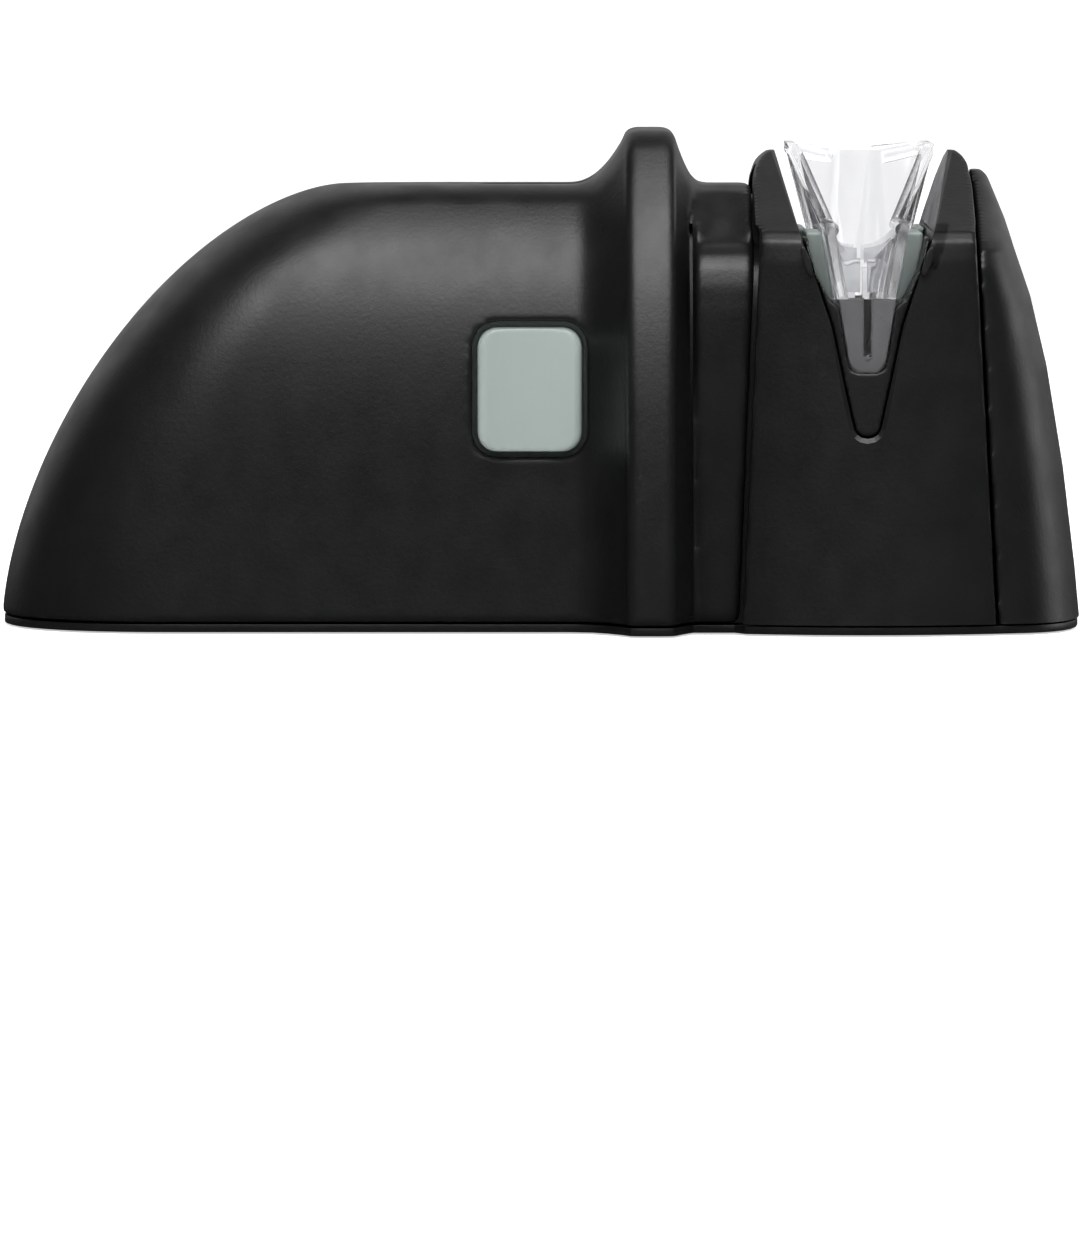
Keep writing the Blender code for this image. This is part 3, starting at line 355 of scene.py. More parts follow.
def turned(name, profile, axis, centre, sides=96):
    """A profile of (radius, along) turned about an axis: solid if it starts on it, else a ring."""
    solid = profile[0][0] == 0
    middle = profile[1:-1] if solid else profile
    points, faces = [], []
    for radius, along in middle:
        for step in range(sides):
            angle = 2 * math.pi * step / sides
            offset = placed(axis, radius * math.cos(angle), radius * math.sin(angle), along)
            points.append(tuple(centre[i] + offset[i] for i in range(3)))
    rows = len(middle)
    for row in range(rows - 1 if solid else rows):
        low, high = row * sides, ((row + 1) % rows) * sides
        for i in range(sides):
            j = (i + 1) % sides
            faces.append((low + i, low + j, high + j, high + i))
    if solid:
        for row, (_, along) in ((0, profile[0]), (rows - 1, profile[-1])):
            pole = len(points)
            offset = placed(axis, 0, 0, along)
            points.append(tuple(centre[i] + offset[i] for i in range(3)))
            faces += [(row * sides + i, row * sides + (i + 1) % sides, pole) for i in range(sides)]
    return mesh_object(name, points, faces)


def rod(name, axis, centre, radius, start, end, sides=48):
    return turned(name, [(0, start), (radius, start), (radius, end), (0, end)], axis, centre, sides)


def applied(target):
    graph = bpy.context.evaluated_depsgraph_get()
    mesh = bpy.data.meshes.new_from_object(target.evaluated_get(graph))
    target.modifiers.clear()
    target.data = mesh
    return target


def combine(target, tool, operation):
    """Applies a Boolean and removes the tool."""
    step = target.modifiers.new(operation, "BOOLEAN")
    step.operation = operation
    step.solver = "MANIFOLD"
    step.object = tool
    applied(target)
    bpy.data.objects.remove(tool)
    return target


def cut(target, *tools):
    for tool in tools:
        combine(target, tool, "DIFFERENCE")
    return target


def join(target, *tools):
    for tool in tools:
        combine(target, tool, "UNION")
    return target


def soften(target, voxel, rounds):
    """Re-meshes a solid evenly and relaxes it, which gives every edge a moulded radius."""
    even = target.modifiers.new("even", "REMESH")
    even.mode = "VOXEL"
    even.voxel_size = voxel * MM
    relax = target.modifiers.new("relax", "SMOOTH")
    relax.factor = 0.5
    relax.iterations = rounds
    return applied(target)


def edged(target, width, segments=2, angle=35):
    """Rounds a solid's sharp edges by a small width."""
    flat = bmesh.new()
    flat.from_mesh(target.data)
    bmesh.ops.remove_doubles(flat, verts=flat.verts, dist=0.003 * MM)
    bmesh.ops.dissolve_limit(flat, angle_limit=math.radians(0.5), verts=flat.verts, edges=flat.edges)
    flat.to_mesh(target.data)
    flat.free()
    step = target.modifiers.new("edge", "BEVEL")
    step.width = width * MM
    step.segments = segments
    step.limit_method = "ANGLE"
    step.angle_limit = math.radians(angle)
    step.use_clamp_overlap = True
    return applied(target)


def piece(target, finish, body, slot, *nodes, smooth=40):
    """Finishes a visible piece: shading, material, the body it rides on and the nodes it stands for."""
    mesh = target.data
    mesh.materials.clear()
    mesh.materials.append(finish)
    for polygon in mesh.polygons:
        polygon.material_index = 0
    mesh.shade_smooth()
    mesh.set_sharp_from_angle(angle=math.radians(smooth))
    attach(target, body)
    if nodes:
        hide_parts(*nodes)
    return target


# Grip, guard and neck -------------------------------------------------------------------------------


def guard_growth(x):
    """How far the section has grown from the grip's (0) to the guard's (1) at x."""
    if x <= GUARD_LEFT or x >= GUARD_RIGHT:
        return 0.0
    if x < GUARD_CREST_LEFT:
        return CREST_EDGE * ((x - GUARD_LEFT) / (GUARD_CREST_LEFT - GUARD_LEFT)) ** FLANK_LEFT_POWER
    if x > GUARD_CREST_RIGHT:
        return CREST_EDGE * ((GUARD_RIGHT - x) / (GUARD_RIGHT - GUARD_CREST_RIGHT)) ** FLANK_RIGHT_POWER
    inside = min(x - GUARD_CREST_LEFT, GUARD_CREST_RIGHT - x) / GUARD_EDGE
    return CREST_EDGE + (1 - CREST_EDGE) * math.sqrt(1 - max(0.0, 1 - inside) ** 2)


def arch_half(z, growth, inset, crown=False):
    """Half the section's depth at height z."""
    base = GRIP_HALF + growth * (GUARD_HALF - GRIP_HALF)
    top = GRIP_TOP + growth * (GUARD_TOP - GRIP_TOP)
    top_half = GRIP_TOP_HALF + growth * (GUARD_TOP_HALF - GRIP_TOP_HALF)
    curl = base - SIDE_DRAFT * top - top_half
    z = max(0.0, min(z, top))
    half = base - SIDE_DRAFT * z - curl * (z / top) ** (SIDE_POWER - growth * GUARD_EASE) - inset
    if crown:
        above = max(0.0, 1 - (top - z) / CROWN_DEPTH)
        half -= CROWN_RUN * (1 - math.sqrt(max(0.0, 1 - above * above)))
    return half


def grip_body(name, levels, stations, nose_steps, inset=0.0, low=BASE, crown=False):
    """The grip with its round nose. levels run from 0 at the foot to 1 at the top, and an inset body
    leaves the guard out."""
    rings = []
    for level in levels:
        front, rear, nose = [], [], []
        for x in stations:
            growth = guard_growth(x) if inset == 0 else 0.0
            top = GRIP_TOP + growth * (GUARD_TOP - GRIP_TOP)
            z = low + level * (top - inset - low)
            half = arch_half(z + inset * level, growth, inset, crown)
            front.append((x, -half, z))
            rear.append((x, half, z))
        z = low + level * (GRIP_TOP - inset - low)
        rise = max(0.0, min(1.0, (z + inset * level) / GRIP_TOP))
        half = arch_half(z + inset * level, 0.0, inset, crown)
        run = NOSE_RUN * (1 - rise**NOSE_POWER) ** (1 / NOSE_POWER)
        back = NOSE_RUN - HALF_LENGTH - run + inset
        depth = NOSE_DEPTH - NOSE_DEPTH_LOSS * rise
        for step in range(1, nose_steps):
            angle = math.pi * (step / nose_steps - 0.5)
            c, s = math.cos(angle), math.sin(angle)
            x = back + depth * (1 - abs(c) ** (2 / NOSE_ROUNDNESS))
            nose.append((x, math.copysign(half * abs(s) ** (2 / NOSE_ROUNDNESS), s), z))
        rings.append(front[::-1] + [(back + depth, -half, z)] + nose + [(back + depth, half, z)] + rear)
    last, count = len(stations), len(rings[0])
    caps = [(i, i + 1, count - 2 - i, count - 1 - i) for i in range(last - 1)]
    caps.append(tuple(range(last - 1, count - last + 1)))
    return loft(name, rings, top_faces=caps)


def slab_body(name, levels, front, rear, left, right, inset=0.0, barrel=0.0, saddle=0.0, count=24):
    """A body between four side tables. barrel bows its front and rear about the slot, and saddle hollows
    them above the neck's shoulder."""
    rings = []
    for z in levels:
        x0, x1 = lookup(left, z + inset), lookup(right, z + inset)
        y0, y1 = lookup(front, z + inset) + inset, lookup(rear, z + inset) - inset
        xs = steps(x0, x1, count)
        dip = saddle * max(0.0, min(1.0, (z - SHOULDER_Z) / SHOULDER_BLEND))
        swell = []
        for x in xs:
            bow = barrel * ((x - SLOT_X) / BARREL_HALF) ** 2
            swell.append(1 - bow + dip * ((x - SADDLE_X) / SADDLE_HALF) ** 2)
        ring = [(x, y0 * k, z) for x, k in zip(xs, swell)]
        ring += [(x, y1 * k, z) for x, k in zip(reversed(xs), reversed(swell))]
        rings.append(ring)
    return loft(name, rings)


def fixed(x):
    return ((0, x),)


def shifted(table, by):
    return tuple((z, x + by) for z, x in table)


def levels_between(low, high, *tables):
    """The heights where the tables have corners, with both ends."""
    found = {low, high}
    for table in tables:
        found |= {z for z, _ in table if low + 0.2 < z < high - 0.2}
    return sorted(found)


def valley_groove():
    """A narrow groove down the bottom of the valley between the guard and the neck, front and rear."""
    growth = guard_growth(sum(GROOVE) / 2)
    rear = tuple((z, arch_half(z, growth, 1.4)) for z in steps(0, 66, 22))
    front = tuple((z, -y) for z, y in rear)
    core = slab_body("core", [z for z, _ in rear], front, rear, fixed(GROOVE[0] - 1), fixed(GROOVE[1] + 1))
    return cut(box("groove", (GROOVE[0], -60, BASE + 1.0), (GROOVE[1], 60, 63.5)), core)


def neck_body(name, low, high, left, right, inset=0.0, saddle=0.0):
    levels = levels_between(low, high, NECK_FRONT, NECK_REAR)
    return slab_body(name, levels, NECK_FRONT, NECK_REAR, left, right, inset, saddle=saddle)


def guard_stations():
    """Where the housing's sections stand along X, close together round the guard's two edges."""
    turn = [GUARD_EDGE * (1 - math.cos(math.pi / 2 * i / 6)) for i in range(7)]
    stations = steps(GUARD_LEFT, GUARD_CREST_LEFT, 22)
    stations += [GUARD_CREST_LEFT + reach for reach in turn[1:]]
    stations += [GUARD_CREST_RIGHT - reach for reach in reversed(turn)]
    return stations + steps(GUARD_CREST_RIGHT, GUARD_RIGHT, 12)[1:] + [HOUSING_RIGHT]


def make_housing():
    levels = [math.sin(math.pi / 2 * i / 56) for i in range(57)]
    shell = grip_body("housing_shell", levels, guard_stations(), 72, crown=True)
    neck = neck_body("neck", BASE, NECK_TOP, fixed(NECK_LEFT), NECK_RIGHT, saddle=0.13)
    join(shell, soften(neck, 0.55, 12))
    hole = rounded(BUTTON_X, BUTTON_Z, BUTTON_W + 1.7, BUTTON_H + 1.9, BUTTON_R + 0.85)
    cut(shell, prism("button_hole", hole, "Y", -46, -26))
    window = rounded(WINDOW_X, 0, WINDOW_L + 2 * GAP, WINDOW_W + 2 * GAP, 1.5 + GAP)
    cut(shell, prism("window_hole", window, "Z", 60, 80))
    soften(shell, 0.5, 7)
    inner = [0, 0.3, 0.55, 0.75, 0.87, 0.94, 0.98, 1.0]
    cut(shell, grip_body("cavity", inner, [4.7, HOUSING_RIGHT - 1.5], 16, inset=WALL + 0.1, low=-1.0))
    for start, inset in ((24.5, 5.6), (27.2, WALL)):
        cut(shell, neck_body("neck_cavity", -1.0, NECK_TOP - inset, fixed(start), fixed(40), inset))
    cut(shell, valley_groove())
    # A loop inside the seam to the head cover keeps light from showing through the seam
    ring = neck_body("seam_ring", BASE, 67.5, shifted(NECK_RIGHT, -1.6), shifted(NECK_RIGHT, 2.2), 1.2)
    join(shell, cut(ring, neck_body("opening", -1.0, 65.0, fixed(20), fixed(45), 3.6)))
    cut(shell, box("foot_trim", (-90, -60, -5), (40, 60, BASE)))
    return piece(shell, soft_black, "housing", "soft_black", "main_housing", smooth=50)


def make_window():
    fillet = steps(GUARD_LEFT, GUARD_CREST_LEFT, 16)

    def skin(drop):
        """All that lies below the grip's top face, lowered by drop."""
        top = [(x, GRIP_TOP - drop + guard_growth(x) * (GUARD_TOP - GRIP_TOP)) for x in fillet]
        return prism("skin", [(-40, 50), (-40, GRIP_TOP - drop)] + top + [(14, 50)], "Y", -20, 20)

    inner_l, inner_w = WINDOW_L - 2 * WINDOW_BORDER, WINDOW_W - 2 * WINDOW_BORDER
    rim = prism("window_rim", rounded(WINDOW_X, 0, WINDOW_L, WINDOW_W, 1.5), "Z", 65.6, 80)
    cut(rim, prism("opening", rounded(WINDOW_X, 0, inner_l, inner_w, 0.8), "Z", 60, 85))
    combine(rim, skin(0.15), "INTERSECT")
    soften(rim, 0.16, 3)
    piece(rim, sage, "housing", "sage_grey", "window_frame")
    pane = prism("window_pane", rounded(WINDOW_X, 0, inner_l - 0.3, inner_w - 0.3, 0.7), "Z", 65.0, 80)
    combine(pane, skin(0.4), "INTERSECT")
    soften(pane, 0.16, 3)
    piece(pane, lens, "housing", "light_lens", "window_lens")


def make_button():
    rings = []
    face = BUTTON_FACE
    edge = ((face + 1.1, 0), (face + 0.5, 0.18), (face + 0.15, 0.55), (face, 1.1))
    for y, shrink in ((BUTTON_INNER - 1.2, 0),) + edge:
        width, height = BUTTON_W - 2 * shrink, BUTTON_H - 2 * shrink
        outline = rounded(BUTTON_X, BUTTON_Z, width, height, BUTTON_R - shrink / 2)
        rings.append([(x, y, z) for x, z in outline])
    cap = loft("thumb_button", rings)
    centre = (BUTTON_X, face - DISH_R + DISH_DEPTH, BUTTON_Z)
    cut(cap, rod("dish", "Z", centre, DISH_R, -23, 23, 128))
    lip = rounded(BUTTON_X, BUTTON_Z, BUTTON_W + 4, BUTTON_H + 4, BUTTON_R + 1)
    join(cap, prism("lip", lip, "Y", BUTTON_INNER - 1.3, BUTTON_INNER))
    soften(cap, 0.3, 3)
    piece(cap, sage, "switch_button", "sage_grey", "button_cap", smooth=60)


# Head -----------------------------------------------------------------------------------------------


def cover_body(name, low, left, right, inset=0.0):
    top = HEAD_TOP - (WALL if inset >= WALL else 0)
    levels = levels_between(low, top, COVER_FRONT, COVER_REAR, COVER_LEFT)
    return slab_body(name, levels, COVER_FRONT, COVER_REAR, left, right, inset, BARREL)


def v_points(grow, high=84):
    """The slot's outline grown outwards, as (x, z) points from right top round the bottom to left top."""
    right = []
    for z in [high] + [z for z, _ in reversed(V_HALF) if z < high]:
        half, drop = lookup(V_HALF, z), min(0.0, z - V_CENTRE)
        reach = math.hypot(half, drop)
        right.append((half + grow * half / reach, z + grow * drop / reach))
    left = right[-2::-1]
    return [(SLOT_X + x, z) for x, z in right] + [(SLOT_X - x, z) for x, z in left]


def make_cover():
    cover = soften(cover_body("head_shell", BASE - 3, COVER_LEFT, COVER_RIGHT), 0.5, 4)
    cut(cover, prism("v_slot", v_points(0.0), "Y", -60, 60))
    for side, face in ((-1, COVER_FRONT), (1, COVER_REAR)):
        rings = []
        for grow, depth in ((2.3, -1.2), (-0.4, 0.9)):
            ring = []
            for x, z in v_points(grow, high=77):
                sunk = depth if z < FIN_FOOT else depth * FIN_BEVEL
                ring.append((x, lookup(face, z) - side * sunk, z))
            rings.append(ring)
        cut(cover, loft("v_edge", rings))
    cut(cover, box("foot_trim", (20, -60, -5), (90, 60, BASE)))
    hollow = cover_body("hollow", -1, fixed(25), fixed(80), WALL)
    cheeks = v_points(CHEEK)
    cut(hollow, prism("cheeks", cheeks, "Y", -60, 60))
    cut(cover, hollow, box("rim", (20, -60, -5), (90, 60, BASE)))
    return piece(cover, soft_black, "housing", "soft_black", "head_cover", smooth=28)


def mirrored(halves):
    """An outline of (x, z) points from (z, half) rows, the same on both sides of the slot."""
    return [(SLOT_X + half, z) for z, half in halves] + [(SLOT_X - half, z) for z, half in reversed(halves)]


def raised(outline, low):
    """The outline with nothing below a height."""
    return [(x, max(z, low)) for x, z in outline]


def liner_body(name, start, end):
    """The liner's solid: it fills the slot, and a wider part stands behind the cover's wall."""
    liner = prism(name, v_points(-0.34, high=61.6), "Y", start, end)
    combine(liner, cover_body("inside", 20, fixed(30), fixed(72), 0.6), "INTERSECT")
    packing = prism("packing", v_points(0.1, high=61.0), "Y", start, end)
    return join(liner, combine(packing, cover_body("inside", 20, fixed(30), fixed(72), 2.0), "INTERSECT"))


def channel_foot(table):
    """The channel's rounded foot, a little outside the guide's."""
    floor = GUIDE_FLOOR - CHANNEL_EASE
    foot = ((floor, -0.9), (floor + 0.3, -0.3), (floor + 1.0, 0.2), (floor + 1.9, CHANNEL_EASE))
    return [(z, flared(table, z) + ease) for z, ease in foot]


def screw_hole(liner, y):
    """A hole for a channel screw, wide for its head and narrow for its shank."""
    centre = (SLOT_X, y, 0)
    head = rod("screw_well", "Z", centre, 2.05, 38.3, 50)
    shank = rod("screw_bore", "Z", centre, 1.25, 32, 39)
    return cut(liner, head, shank)


def make_front_liner():
    liner = liner_body("front_liner", -60, CRADLE_ENDS[0] - GAP)
    flare = [(51, 4.5), (52, 5.9), (56, 8.0), (60, 9.0), (62, 9.2), (90, 9.2)]
    channel = mirrored(channel_foot(GUIDE_NARROW) + flare)
    for start, end in ((-70, GATE[0]), (GATE[1], GUIDE_REAR_END + 0.4)):
        cut(liner, prism("channel", channel, "Y", start, end))
    cut(liner, prism("over_gate", raised(channel, GATE_TOP - GAP), "Y", GATE[0] - 1, GATE[1] + 1))
    screw_hole(liner, -CHANNEL_SCREW_Y)
    cut(liner, box("gate_slit", (SLOT_X - 0.6, -50, SLIT_FLOOR), (SLOT_X + 0.6, -40, 60)))
    soften(liner, 0.25, 3)
    piece(liner, soft_black, "housing", "inner_black", "slot_liner_front", smooth=50)


def make_rear_liner():
    liner = liner_body("rear_liner", CRADLE_ENDS[1] + GAP, 60)
    flare = [(z, flared(GUIDE_WIDE, z) + CHANNEL_EASE) for z in (53, 90)]
    channel = mirrored(channel_foot(GUIDE_WIDE) + flare)
    cut(liner, prism("channel", channel, "Y", GATE[1], GUIDE_REAR_END + 0.4))
    cut(liner, prism("tail_gap", raised(channel, 50.4), "Y", 30, 70))
    screw_hole(liner, CHANNEL_SCREW_Y)
    soften(liner, 0.25, 3)
    piece(liner, soft_black, "housing", "inner_black", "slot_liner_rear", smooth=50)


def make_catches():
    for name, node, side in (("left_catch", "guide_clip_left", -1), ("right_catch", "guide_clip_right", 1)):
        catch = soften(clip_solid(name, side, -45.25, -40.0), 0.16, 3)
        piece(catch, inner_black, "housing", "inner_black", node)


def clip_solid(name, side, start, end):
    """A slightly leaning lens-shaped post at the slot's edge."""
    z0 = 58.0
    x0 = SLOT_X + side * (lookup(V_HALF, z0) + 0.35)
    rings = []
    for y in (start, end):
        ring = []
        for step in range(24):
            angle = 2 * math.pi * step / 24
            u, v = 0.62 * math.cos(angle), 2.3 * math.sin(angle)
            ring.append((x0 + u + side * 0.3 * v, y, z0 + v))
        rings.append(ring)
    return loft(name, rings)


def make_cap():
    def body(name, inset, low, left, top):
        """The end's solid, square at the left and round in plan at the right."""
        levels = levels_between(low, top, CAP_FRONT, CAP_REAR, CAP_RIGHT)
        rings = []
        for z in levels:
            x0, x1 = lookup(left, z), lookup(CAP_RIGHT, z + inset) - inset
            y0, y1 = lookup(CAP_FRONT, z + inset) + inset, lookup(CAP_REAR, z + inset) - inset
            front, rear = [], []
            for step in range(32):
                x = x0 + (x1 - x0) * math.sin(math.pi / 2 * step / 32)
                share = max(0.0, 1 - ((x - CAP_ROOT) / (x1 - CAP_ROOT)) ** CAP_POWER) ** (1 / CAP_POWER)
                front.append((x, y0 * share, z))
                rear.append((x, y1 * share, z))
            rings.append(front + [(x1, 0, z)] + rear[::-1])
        return loft(name, rings)

    cap = soften(body("end_shell", 0.0, BASE - 3, shifted(COVER_RIGHT, GAP + 0.1), CAP_TOP), 0.5, 7)
    cut(cap, body("hollow", WALL, -1.0, fixed(65.5), CAP_TOP - WALL))
    cut(cap, box("rim", (20, -60, -5), (90, 60, BASE)))
    return piece(cap, soft_black, "housing", "soft_black", "end_cap", smooth=50)


# Guide and cradle -----------------------------------------------------------------------------------


def guide_solid(name, grow, floor, above=0.0):
    """The trough's solid: narrow at the front, wide behind the wheels and pinched at its rear end."""
    narrow_top, wide_top = GUIDE_NARROW_TOP + above, GUIDE_WIDE_TOP + above
    rows = []
    for y, table, top, pinch in (
        (GUIDE_FRONT_END - grow, GUIDE_NARROW, narrow_top, 0.0),
        (GUIDE_NARROW_END, GUIDE_NARROW, narrow_top, 0.0),
        (GUIDE_WIDE_START, GUIDE_WIDE, wide_top, 0.0),
        (GUIDE_RAIL_END, GUIDE_WIDE, wide_top, 0.0),
        (GUIDE_REAR_END + grow, GUIDE_WIDE, wide_top - 1.6, 0.7),
    ):
        foot = ((floor, 1.5), (floor + 0.25, 0.85), (floor + 0.9, 0.25), (floor + 1.9, 0))
        halves = []
        for z, rounding in foot + ((53.0, 0), (top, 0)):
            rise = (z - GUIDE_FLOOR) / (GUIDE_WIDE_TOP - GUIDE_FLOOR)
            halves.append((z, (flared(table, z) + grow - rounding) * (1 - pinch * rise)))
        rows.append([(x, y, z) for x, z in mirrored(halves)])
    return loft(name, rows)


def wheel_window(extra):
    reach = WHEEL_WIDTH + WHEEL_GAP / 2 + extra
    low = (SLOT_X - reach, SPINDLE_Y - WHEEL_R + 1.6, 30)
    return box("wheel_window", low, (SLOT_X + reach, SPINDLE_Y + WHEEL_R - 1.6, SPINDLE_Z + WHEEL_R + 0.8))


def tube(name, path, radius, sides=12):
    """A round bar along a path of points, closed at both ends."""
    rings = []
    for index, here in enumerate(path):
        before, after = path[max(0, index - 1)], path[min(len(path) - 1, index + 1)]
        along = (Vector(after) - Vector(before)).normalized()
        side = along.cross(Vector((0, 0, 1))).normalized()
        up = side.cross(along)
        ring = []
        for step in range(sides):
            angle = 2 * math.pi * step / sides
            ring.append(tuple(Vector(here) + radius * (math.cos(angle) * side + math.sin(angle) * up)))
        rings.append(ring)
    return loft(name, rings)


def guide_bar(table, start, end, low, high, notch):
    """A bar across the trough, with a notch of that half width for the blade."""
    ears = high + 3.6
    halves = [(low, flared(table, low) - 0.5), (ears, flared(table, ears) - 0.6)]
    halves += [(ears - 0.6, notch + 2.6), (high, notch)]
    return prism("bar", mirrored(halves), "Y", start, end)


def guide_rib(y):
    """A thin wall across the wide part, sagging in the middle."""
    low, top, sag = 56.6, 66.5, 7.5
    half, foot = flared(GUIDE_WIDE, top) - 0.7, flared(GUIDE_WIDE, low) - 0.6
    outline = [(SLOT_X - foot, low), (SLOT_X + foot, low)]
    for u in reversed(steps(-1, 1, 16)):
        outline.append((SLOT_X + half * u, top - sag * (1 - abs(u) ** 2.6)))
    return prism("rib", outline, "Y", y - 0.55, y + 0.55)


def guide_rail(side):
    """The round bar along one top edge."""
    drop, pinched = 1.15, 4.2
    path = []
    for y, table, top in (
        (GUIDE_FRONT_END + 3.4, GUIDE_NARROW, GUIDE_NARROW_TOP),
        (GUIDE_NARROW_END, GUIDE_NARROW, GUIDE_NARROW_TOP),
        (GUIDE_WIDE_START, GUIDE_WIDE, GUIDE_WIDE_TOP),
        (GUIDE_RAIL_END, GUIDE_WIDE, GUIDE_WIDE_TOP),
    ):
        path.append((SLOT_X + side * (flared(table, top) - drop), y, top - drop))
    path.append((SLOT_X + side * pinched, GUIDE_REAR_END - drop, GUIDE_WIDE_TOP - 1.6 - drop))
    return tube("guide_rail", path, 1.12, 16)


def strip(name, half, start, end, low, high):
    """A cutter of that half width, centred on the slot."""
    return box(name, (SLOT_X - half, start, low), (SLOT_X + half, end, high))


def make_guide():
    guide = guide_solid("clear_guide", 0.0, GUIDE_FLOOR)
    cut(guide, guide_solid("inner", -GUIDE_WALL, GUIDE_FLOOR + 1.5, above=8.0))
    mouth = mirrored([(z, flared(GUIDE_NARROW, z) - GUIDE_WALL) for z in (GATE_TOP, 90)])
    cut(guide, prism("mouth", mouth, "Y", -60, -40))
    cut(guide, strip("gate_slot", 20, GATE[0] - GAP, GATE[1] + GAP, 30, GATE_TOP))
    join(guide, guide_bar(GUIDE_NARROW, -21.3, -16.7, 52.6, 57.9, 1.65))
    join(guide, guide_bar(GUIDE_WIDE, 13.4, 18.0, 50.6, 55.6, 3.1))
    join(guide, guide_rib(3.0), guide_rib(27.0))
    cut(guide, wheel_window(0.5))
    for start, end in ((21.5, 26.0), (30.0, 36.4), (-41.5, -25.0)):
        cut(guide, strip("floor_window", 1.25, start, end, 38, 43.5))
    cut(guide, strip("blade_slit", SLIT_HALF, -60, 30, SLIT_FLOOR, 90))
    cut(guide, strip("blade_slit", SLIT_HALF, 29, 60, SLIT_FLOOR, 51))
    edged(guide, 0.28, 2, 30)
    join(guide, guide_rail(-1), guide_rail(1))
    piece(guide, clear_plastic, "guide", "clear_plastic", "blade_guide", smooth=30)


def make_cradle():
    cradle = prism("guide_seat", mirrored(CRADLE_NARROW), "Y", CRADLE_ENDS[0], 1.0)
    join(cradle, prism("wide", mirrored(CRADLE_WIDE), "Y", -1.5, CRADLE_ENDS[1]))
    cut(cradle, guide_solid("inner", 0.5, GUIDE_FLOOR - 0.4, above=12.0), wheel_window(0.6))
    cut(cradle, prism("slope", mirrored([(62.2, 9.8), (67.9, 14), (80, 14)]), "Y", -60, 60))
    soften(cradle, 0.35, 3)
    piece(cradle, sage, "housing", "sage_grey", "guide_cradle", smooth=50)


# Wheels, drive and underside ------------------------------------------------------------------------


def make_wheels():
    spindle = (0.0, SPINDLE_Y, SPINDLE_Z)
    bore = SPINDLE_R + GAP
    # The wheel's profile as (radius, distance out from its inner face)
    outline = (
        (bore, 0), (9.5, 0), (9.7, 0.3), (WHEEL_R - 0.9, 0.3), (WHEEL_R - 0.6, 0), (WHEEL_R - 0.4, 0),
        (WHEEL_R - 0.1, 0.12), (WHEEL_R, 0.4), (WHEEL_R - 0.2, 1.1), (WHEEL_R - 0.7, 1.8),
        (WHEEL_EDGE_R + 0.3, WHEEL_WIDTH - 0.1), (WHEEL_EDGE_R, WHEEL_WIDTH), (6.0, WHEEL_WIDTH),
        (5.6, WHEEL_WIDTH - 0.5), (bore, WHEEL_WIDTH - 0.5),
    )
    for name, node, side in (
        ("left_grinding_wheel", "wheel_left", -1),
        ("right_grinding_wheel", "wheel_right", 1),
    ):
        near = SLOT_X + side * WHEEL_GAP / 2
        profile = [(radius, near + side * out) for radius, out in outline]
        piece(turned(name, profile, "X", spindle, 128), stone, "spindle_group", "grinding_stone", node)
    ring = [(bore, -1.35), (7.7, -1.35), (8, -1.1), (8, 1.1), (7.7, 1.35), (bore, 1.35)]
    hub = turned("wheel_hub", ring, "X", (SLOT_X, SPINDLE_Y, SPINDLE_Z), 96)
    piece(hub, turned_steel, "spindle_group", "steel", "wheel_spacer")
    shaft = [(0, 12.6), (1.6, 12.6), (2.0, 13.0), (2.0, 66.6), (1.6, 67.0), (0, 67.0)]
    piece(turned("spindle_bar", shaft, "X", spindle, 48), turned_steel, "spindle_group", "steel", "spindle")


def cross_recess(x, y, z, size, depth):
    arms = [(size, size * 0.28), (size * 0.28, size)]
    return [box("recess", (x - a, y - b, z - 1.0), (x + a, y + b, z + depth)) for a, b in arms]


def make_feet():
    profile = [(0, 0.35), (3.1, 0.35), (3.4, 0.0), (4.5, 0.0), (4.85, 0.15), (5.0, 0.5), (5.0, 1.6), (0, 1.6)]
    for number, (x, y) in enumerate(FEET, 1):
        foot = turned(f"foot_pad_{number}", profile, "Z", (x, y, 0), 64)
        piece(foot, rubber, "housing", "rubber", f"rubber_foot_{number}")


def make_screws():
    profile = [(0, 0.6), (2.3, 0.6), (2.6, 0.75), (2.7, 1.0), (2.7, 1.5), (1.3, 1.9), (1.3, 11), (0, 11.8)]
    for number, (x, y) in enumerate(BASE_SCREWS, 1):
        screw = turned(f"case_screw_{number}", profile, "Z", (x, y, 0), 48)
        cut(screw, *cross_recess(x, y, 0.0, 1.45, 1.4))
        piece(screw, steel, "housing", "steel", f"base_screw_{number}", smooth=25)


def make_cells():
    """Four cells side by side, turned end for end in pairs, with bare steel ends."""
    half = CELL_L / 2
    profile = [
        (0, 0.25 - half), (5.6, 0.25 - half), (5.9, -half), (6.5, -half), (6.9, 0.2 - half),
        (CELL_R, 0.9 - half), (CELL_R, half - 0.9), (6.9, half - 0.3), (6.4, half), (5.2, half - 0.3),
        (2.9, half - 0.2), (2.7, half), (2.7, half + 1.0), (2.4, half + 1.25), (0, half + 1.3),
    ]
    for number in range(4):
        flip = 1 if number % 2 else -1
        centre = (CELL_LEFT + half, (number - 1.5) * CELL_PITCH, CELL_Z)
        cell = turned(f"cell_{number + 1}", [(r, flip * a) for r, a in profile], "X", centre, 72)
        made = piece(cell, sleeve, "housing", "cell_label", f"battery_cell_{number + 1}")
        made.data.materials.append(steel)
        for polygon in made.data.polygons:
            middle = polygon.center / MM
            radial = math.hypot(middle.y - centre[1], middle.z - centre[2])
            if radial < 5.7 or flip * (middle.x - centre[0]) > half - 0.02:
                polygon.material_index = 1


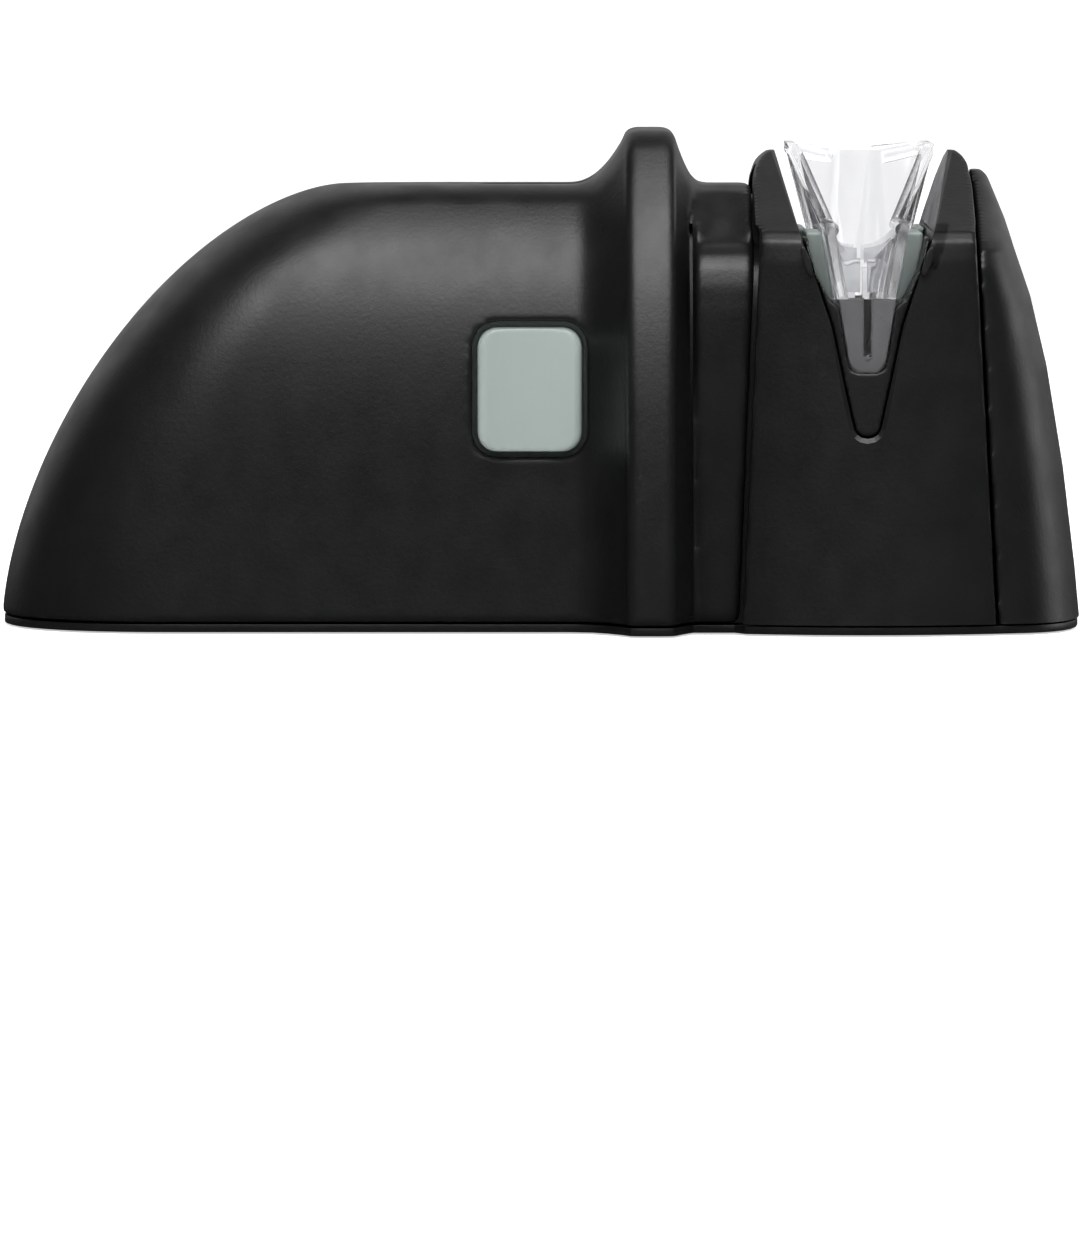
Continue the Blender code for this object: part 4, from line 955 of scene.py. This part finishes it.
def bevelled(node, name, width, finish, body, slot, smooth=35, segments=2):
    """A copy of a CAD node with its sharp edges rounded, shown in the node's place."""
    source = frame["nodes"][node]
    made = bpy.data.objects.new(name, source.data.copy())
    bpy.context.collection.objects.link(made)
    edged(made, width, segments)
    return piece(made, finish, body, slot, node, smooth=smooth)


make_housing()
make_window()
make_button()
make_cover()
make_front_liner()
make_rear_liner()
make_catches()
make_cap()
make_guide()
make_cradle()
make_wheels()
make_feet()
make_screws()
make_cells()
bevelled("base_plate", "base_shell", 0.3, soft_black, "housing", "soft_black")
bevelled("battery_door", "battery_hatch", 0.25, soft_black, "door", "soft_black")

# The CAD nodes that stay get their slot's finish
slots = {part["node"]: part["material_slot"] for part in frame["record"]["subparts"]}
for node, slot in slots.items():
    shown = frame["nodes"][node]
    shown.data.materials.clear()
    shown.data.materials.append(FINISHES[slot])


# Stage ----------------------------------------------------------------------------------------------


def make_stage():
    """A pale floor that rises into a round wall."""
    profile = [(0, 0)] + [(r, 0) for r in (0.2, 0.5, 1, 2, 3, 4)]
    for step in range(1, 13):
        angle = math.pi / 2 * step / 12
        profile.append((4 + 2 * math.sin(angle), 2 * (1 - math.cos(angle))))
    profile += [(6, 3), (6, 5)]
    sides = 96
    points, faces = [(0, 0, 0)], []
    for radius, height in profile[1:]:
        for step in range(sides):
            angle = 2 * math.pi * step / sides
            points.append((radius / MM * math.cos(angle), radius / MM * math.sin(angle), height / MM))
    for step in range(sides):
        faces.append((0, 1 + step, 1 + (step + 1) % sides))
    for row in range(len(profile) - 2):
        low, high = 1 + row * sides, 1 + (row + 1) * sides
        for step in range(sides):
            after = (step + 1) % sides
            faces.append((low + step, low + after, high + after, high + step))
    floor = mesh_object("studio_floor", points, faces)
    floor.data.shade_smooth()
    paper, _, shader = shader_of("studio_paper")
    shader.inputs["Base Color"].default_value = (0.9, 0.9, 0.9, 1)
    shader.inputs["Roughness"].default_value = 0.9
    shader.inputs["Specular IOR Level"].default_value = 0.0
    shader.inputs["Emission Color"].default_value = (1, 1, 1, 1)
    shader.inputs["Emission Strength"].default_value = 0.57
    floor.data.materials.append(paper)
    floor.visible_glossy = False


def area(name, place, target, size, power):
    """A rectangular light, in metres and watts, turned towards its target."""
    lamp = bpy.data.lights.new(name, "AREA")
    lamp.shape = "RECTANGLE"
    lamp.size, lamp.size_y = size
    lamp.energy = power
    made = bpy.data.objects.new(name, lamp)
    made.location = place
    made.rotation_euler = (Vector(target) - Vector(place)).to_track_quat("-Z", "Y").to_euler()
    made.visible_camera = False
    bpy.context.collection.objects.link(made)


make_stage()
area("overhead", (0.05, -0.36, 0.86), (0.0, 0.0, 0.03), (1.0, 0.62), 10.5)
area("front_above", (0.0, -0.9, 0.62), (0.0, 0.0, 0.03), (1.0, 0.3), 0.9)
area("behind", (0.0, 1.5, 0.6), (0.0, 0.0, 0.04), (2.2, 1.1), 4.0)
area("right_rear", (1.3, 0.75, 0.35), (0.05, 0.0, 0.03), (0.9, 0.7), 2.8)

world = bpy.data.worlds.new("studio")
world.use_nodes = True
world.node_tree.nodes["Background"].inputs["Color"].default_value = (1, 1, 1, 1)
world.node_tree.nodes["Background"].inputs["Strength"].default_value = 0.03
scene = bpy.context.scene
scene.world = world
scene.view_settings.view_transform = "Standard"

DISTANCE, RISE = 2.15, math.radians(1.87)
LENS_PER_METRE = 183.14  # focal length in millimetres for each metre of distance, which sets the framing
lens_data = bpy.data.cameras.new("camera")
lens_data.lens = LENS_PER_METRE * DISTANCE
lens_data.sensor_width = 36
lens_data.shift_y = -0.1985
lens_data.clip_start, lens_data.clip_end = 0.1, 20
camera = bpy.data.objects.new("camera", lens_data)
aim = Vector((0.0, 0.0, 0.039))
camera.location = aim + DISTANCE * Vector((0, -math.cos(RISE), math.sin(RISE)))
camera.rotation_euler = (aim - camera.location).to_track_quat("-Z", "Y").to_euler()
bpy.context.collection.objects.link(camera)
scene.camera = camera
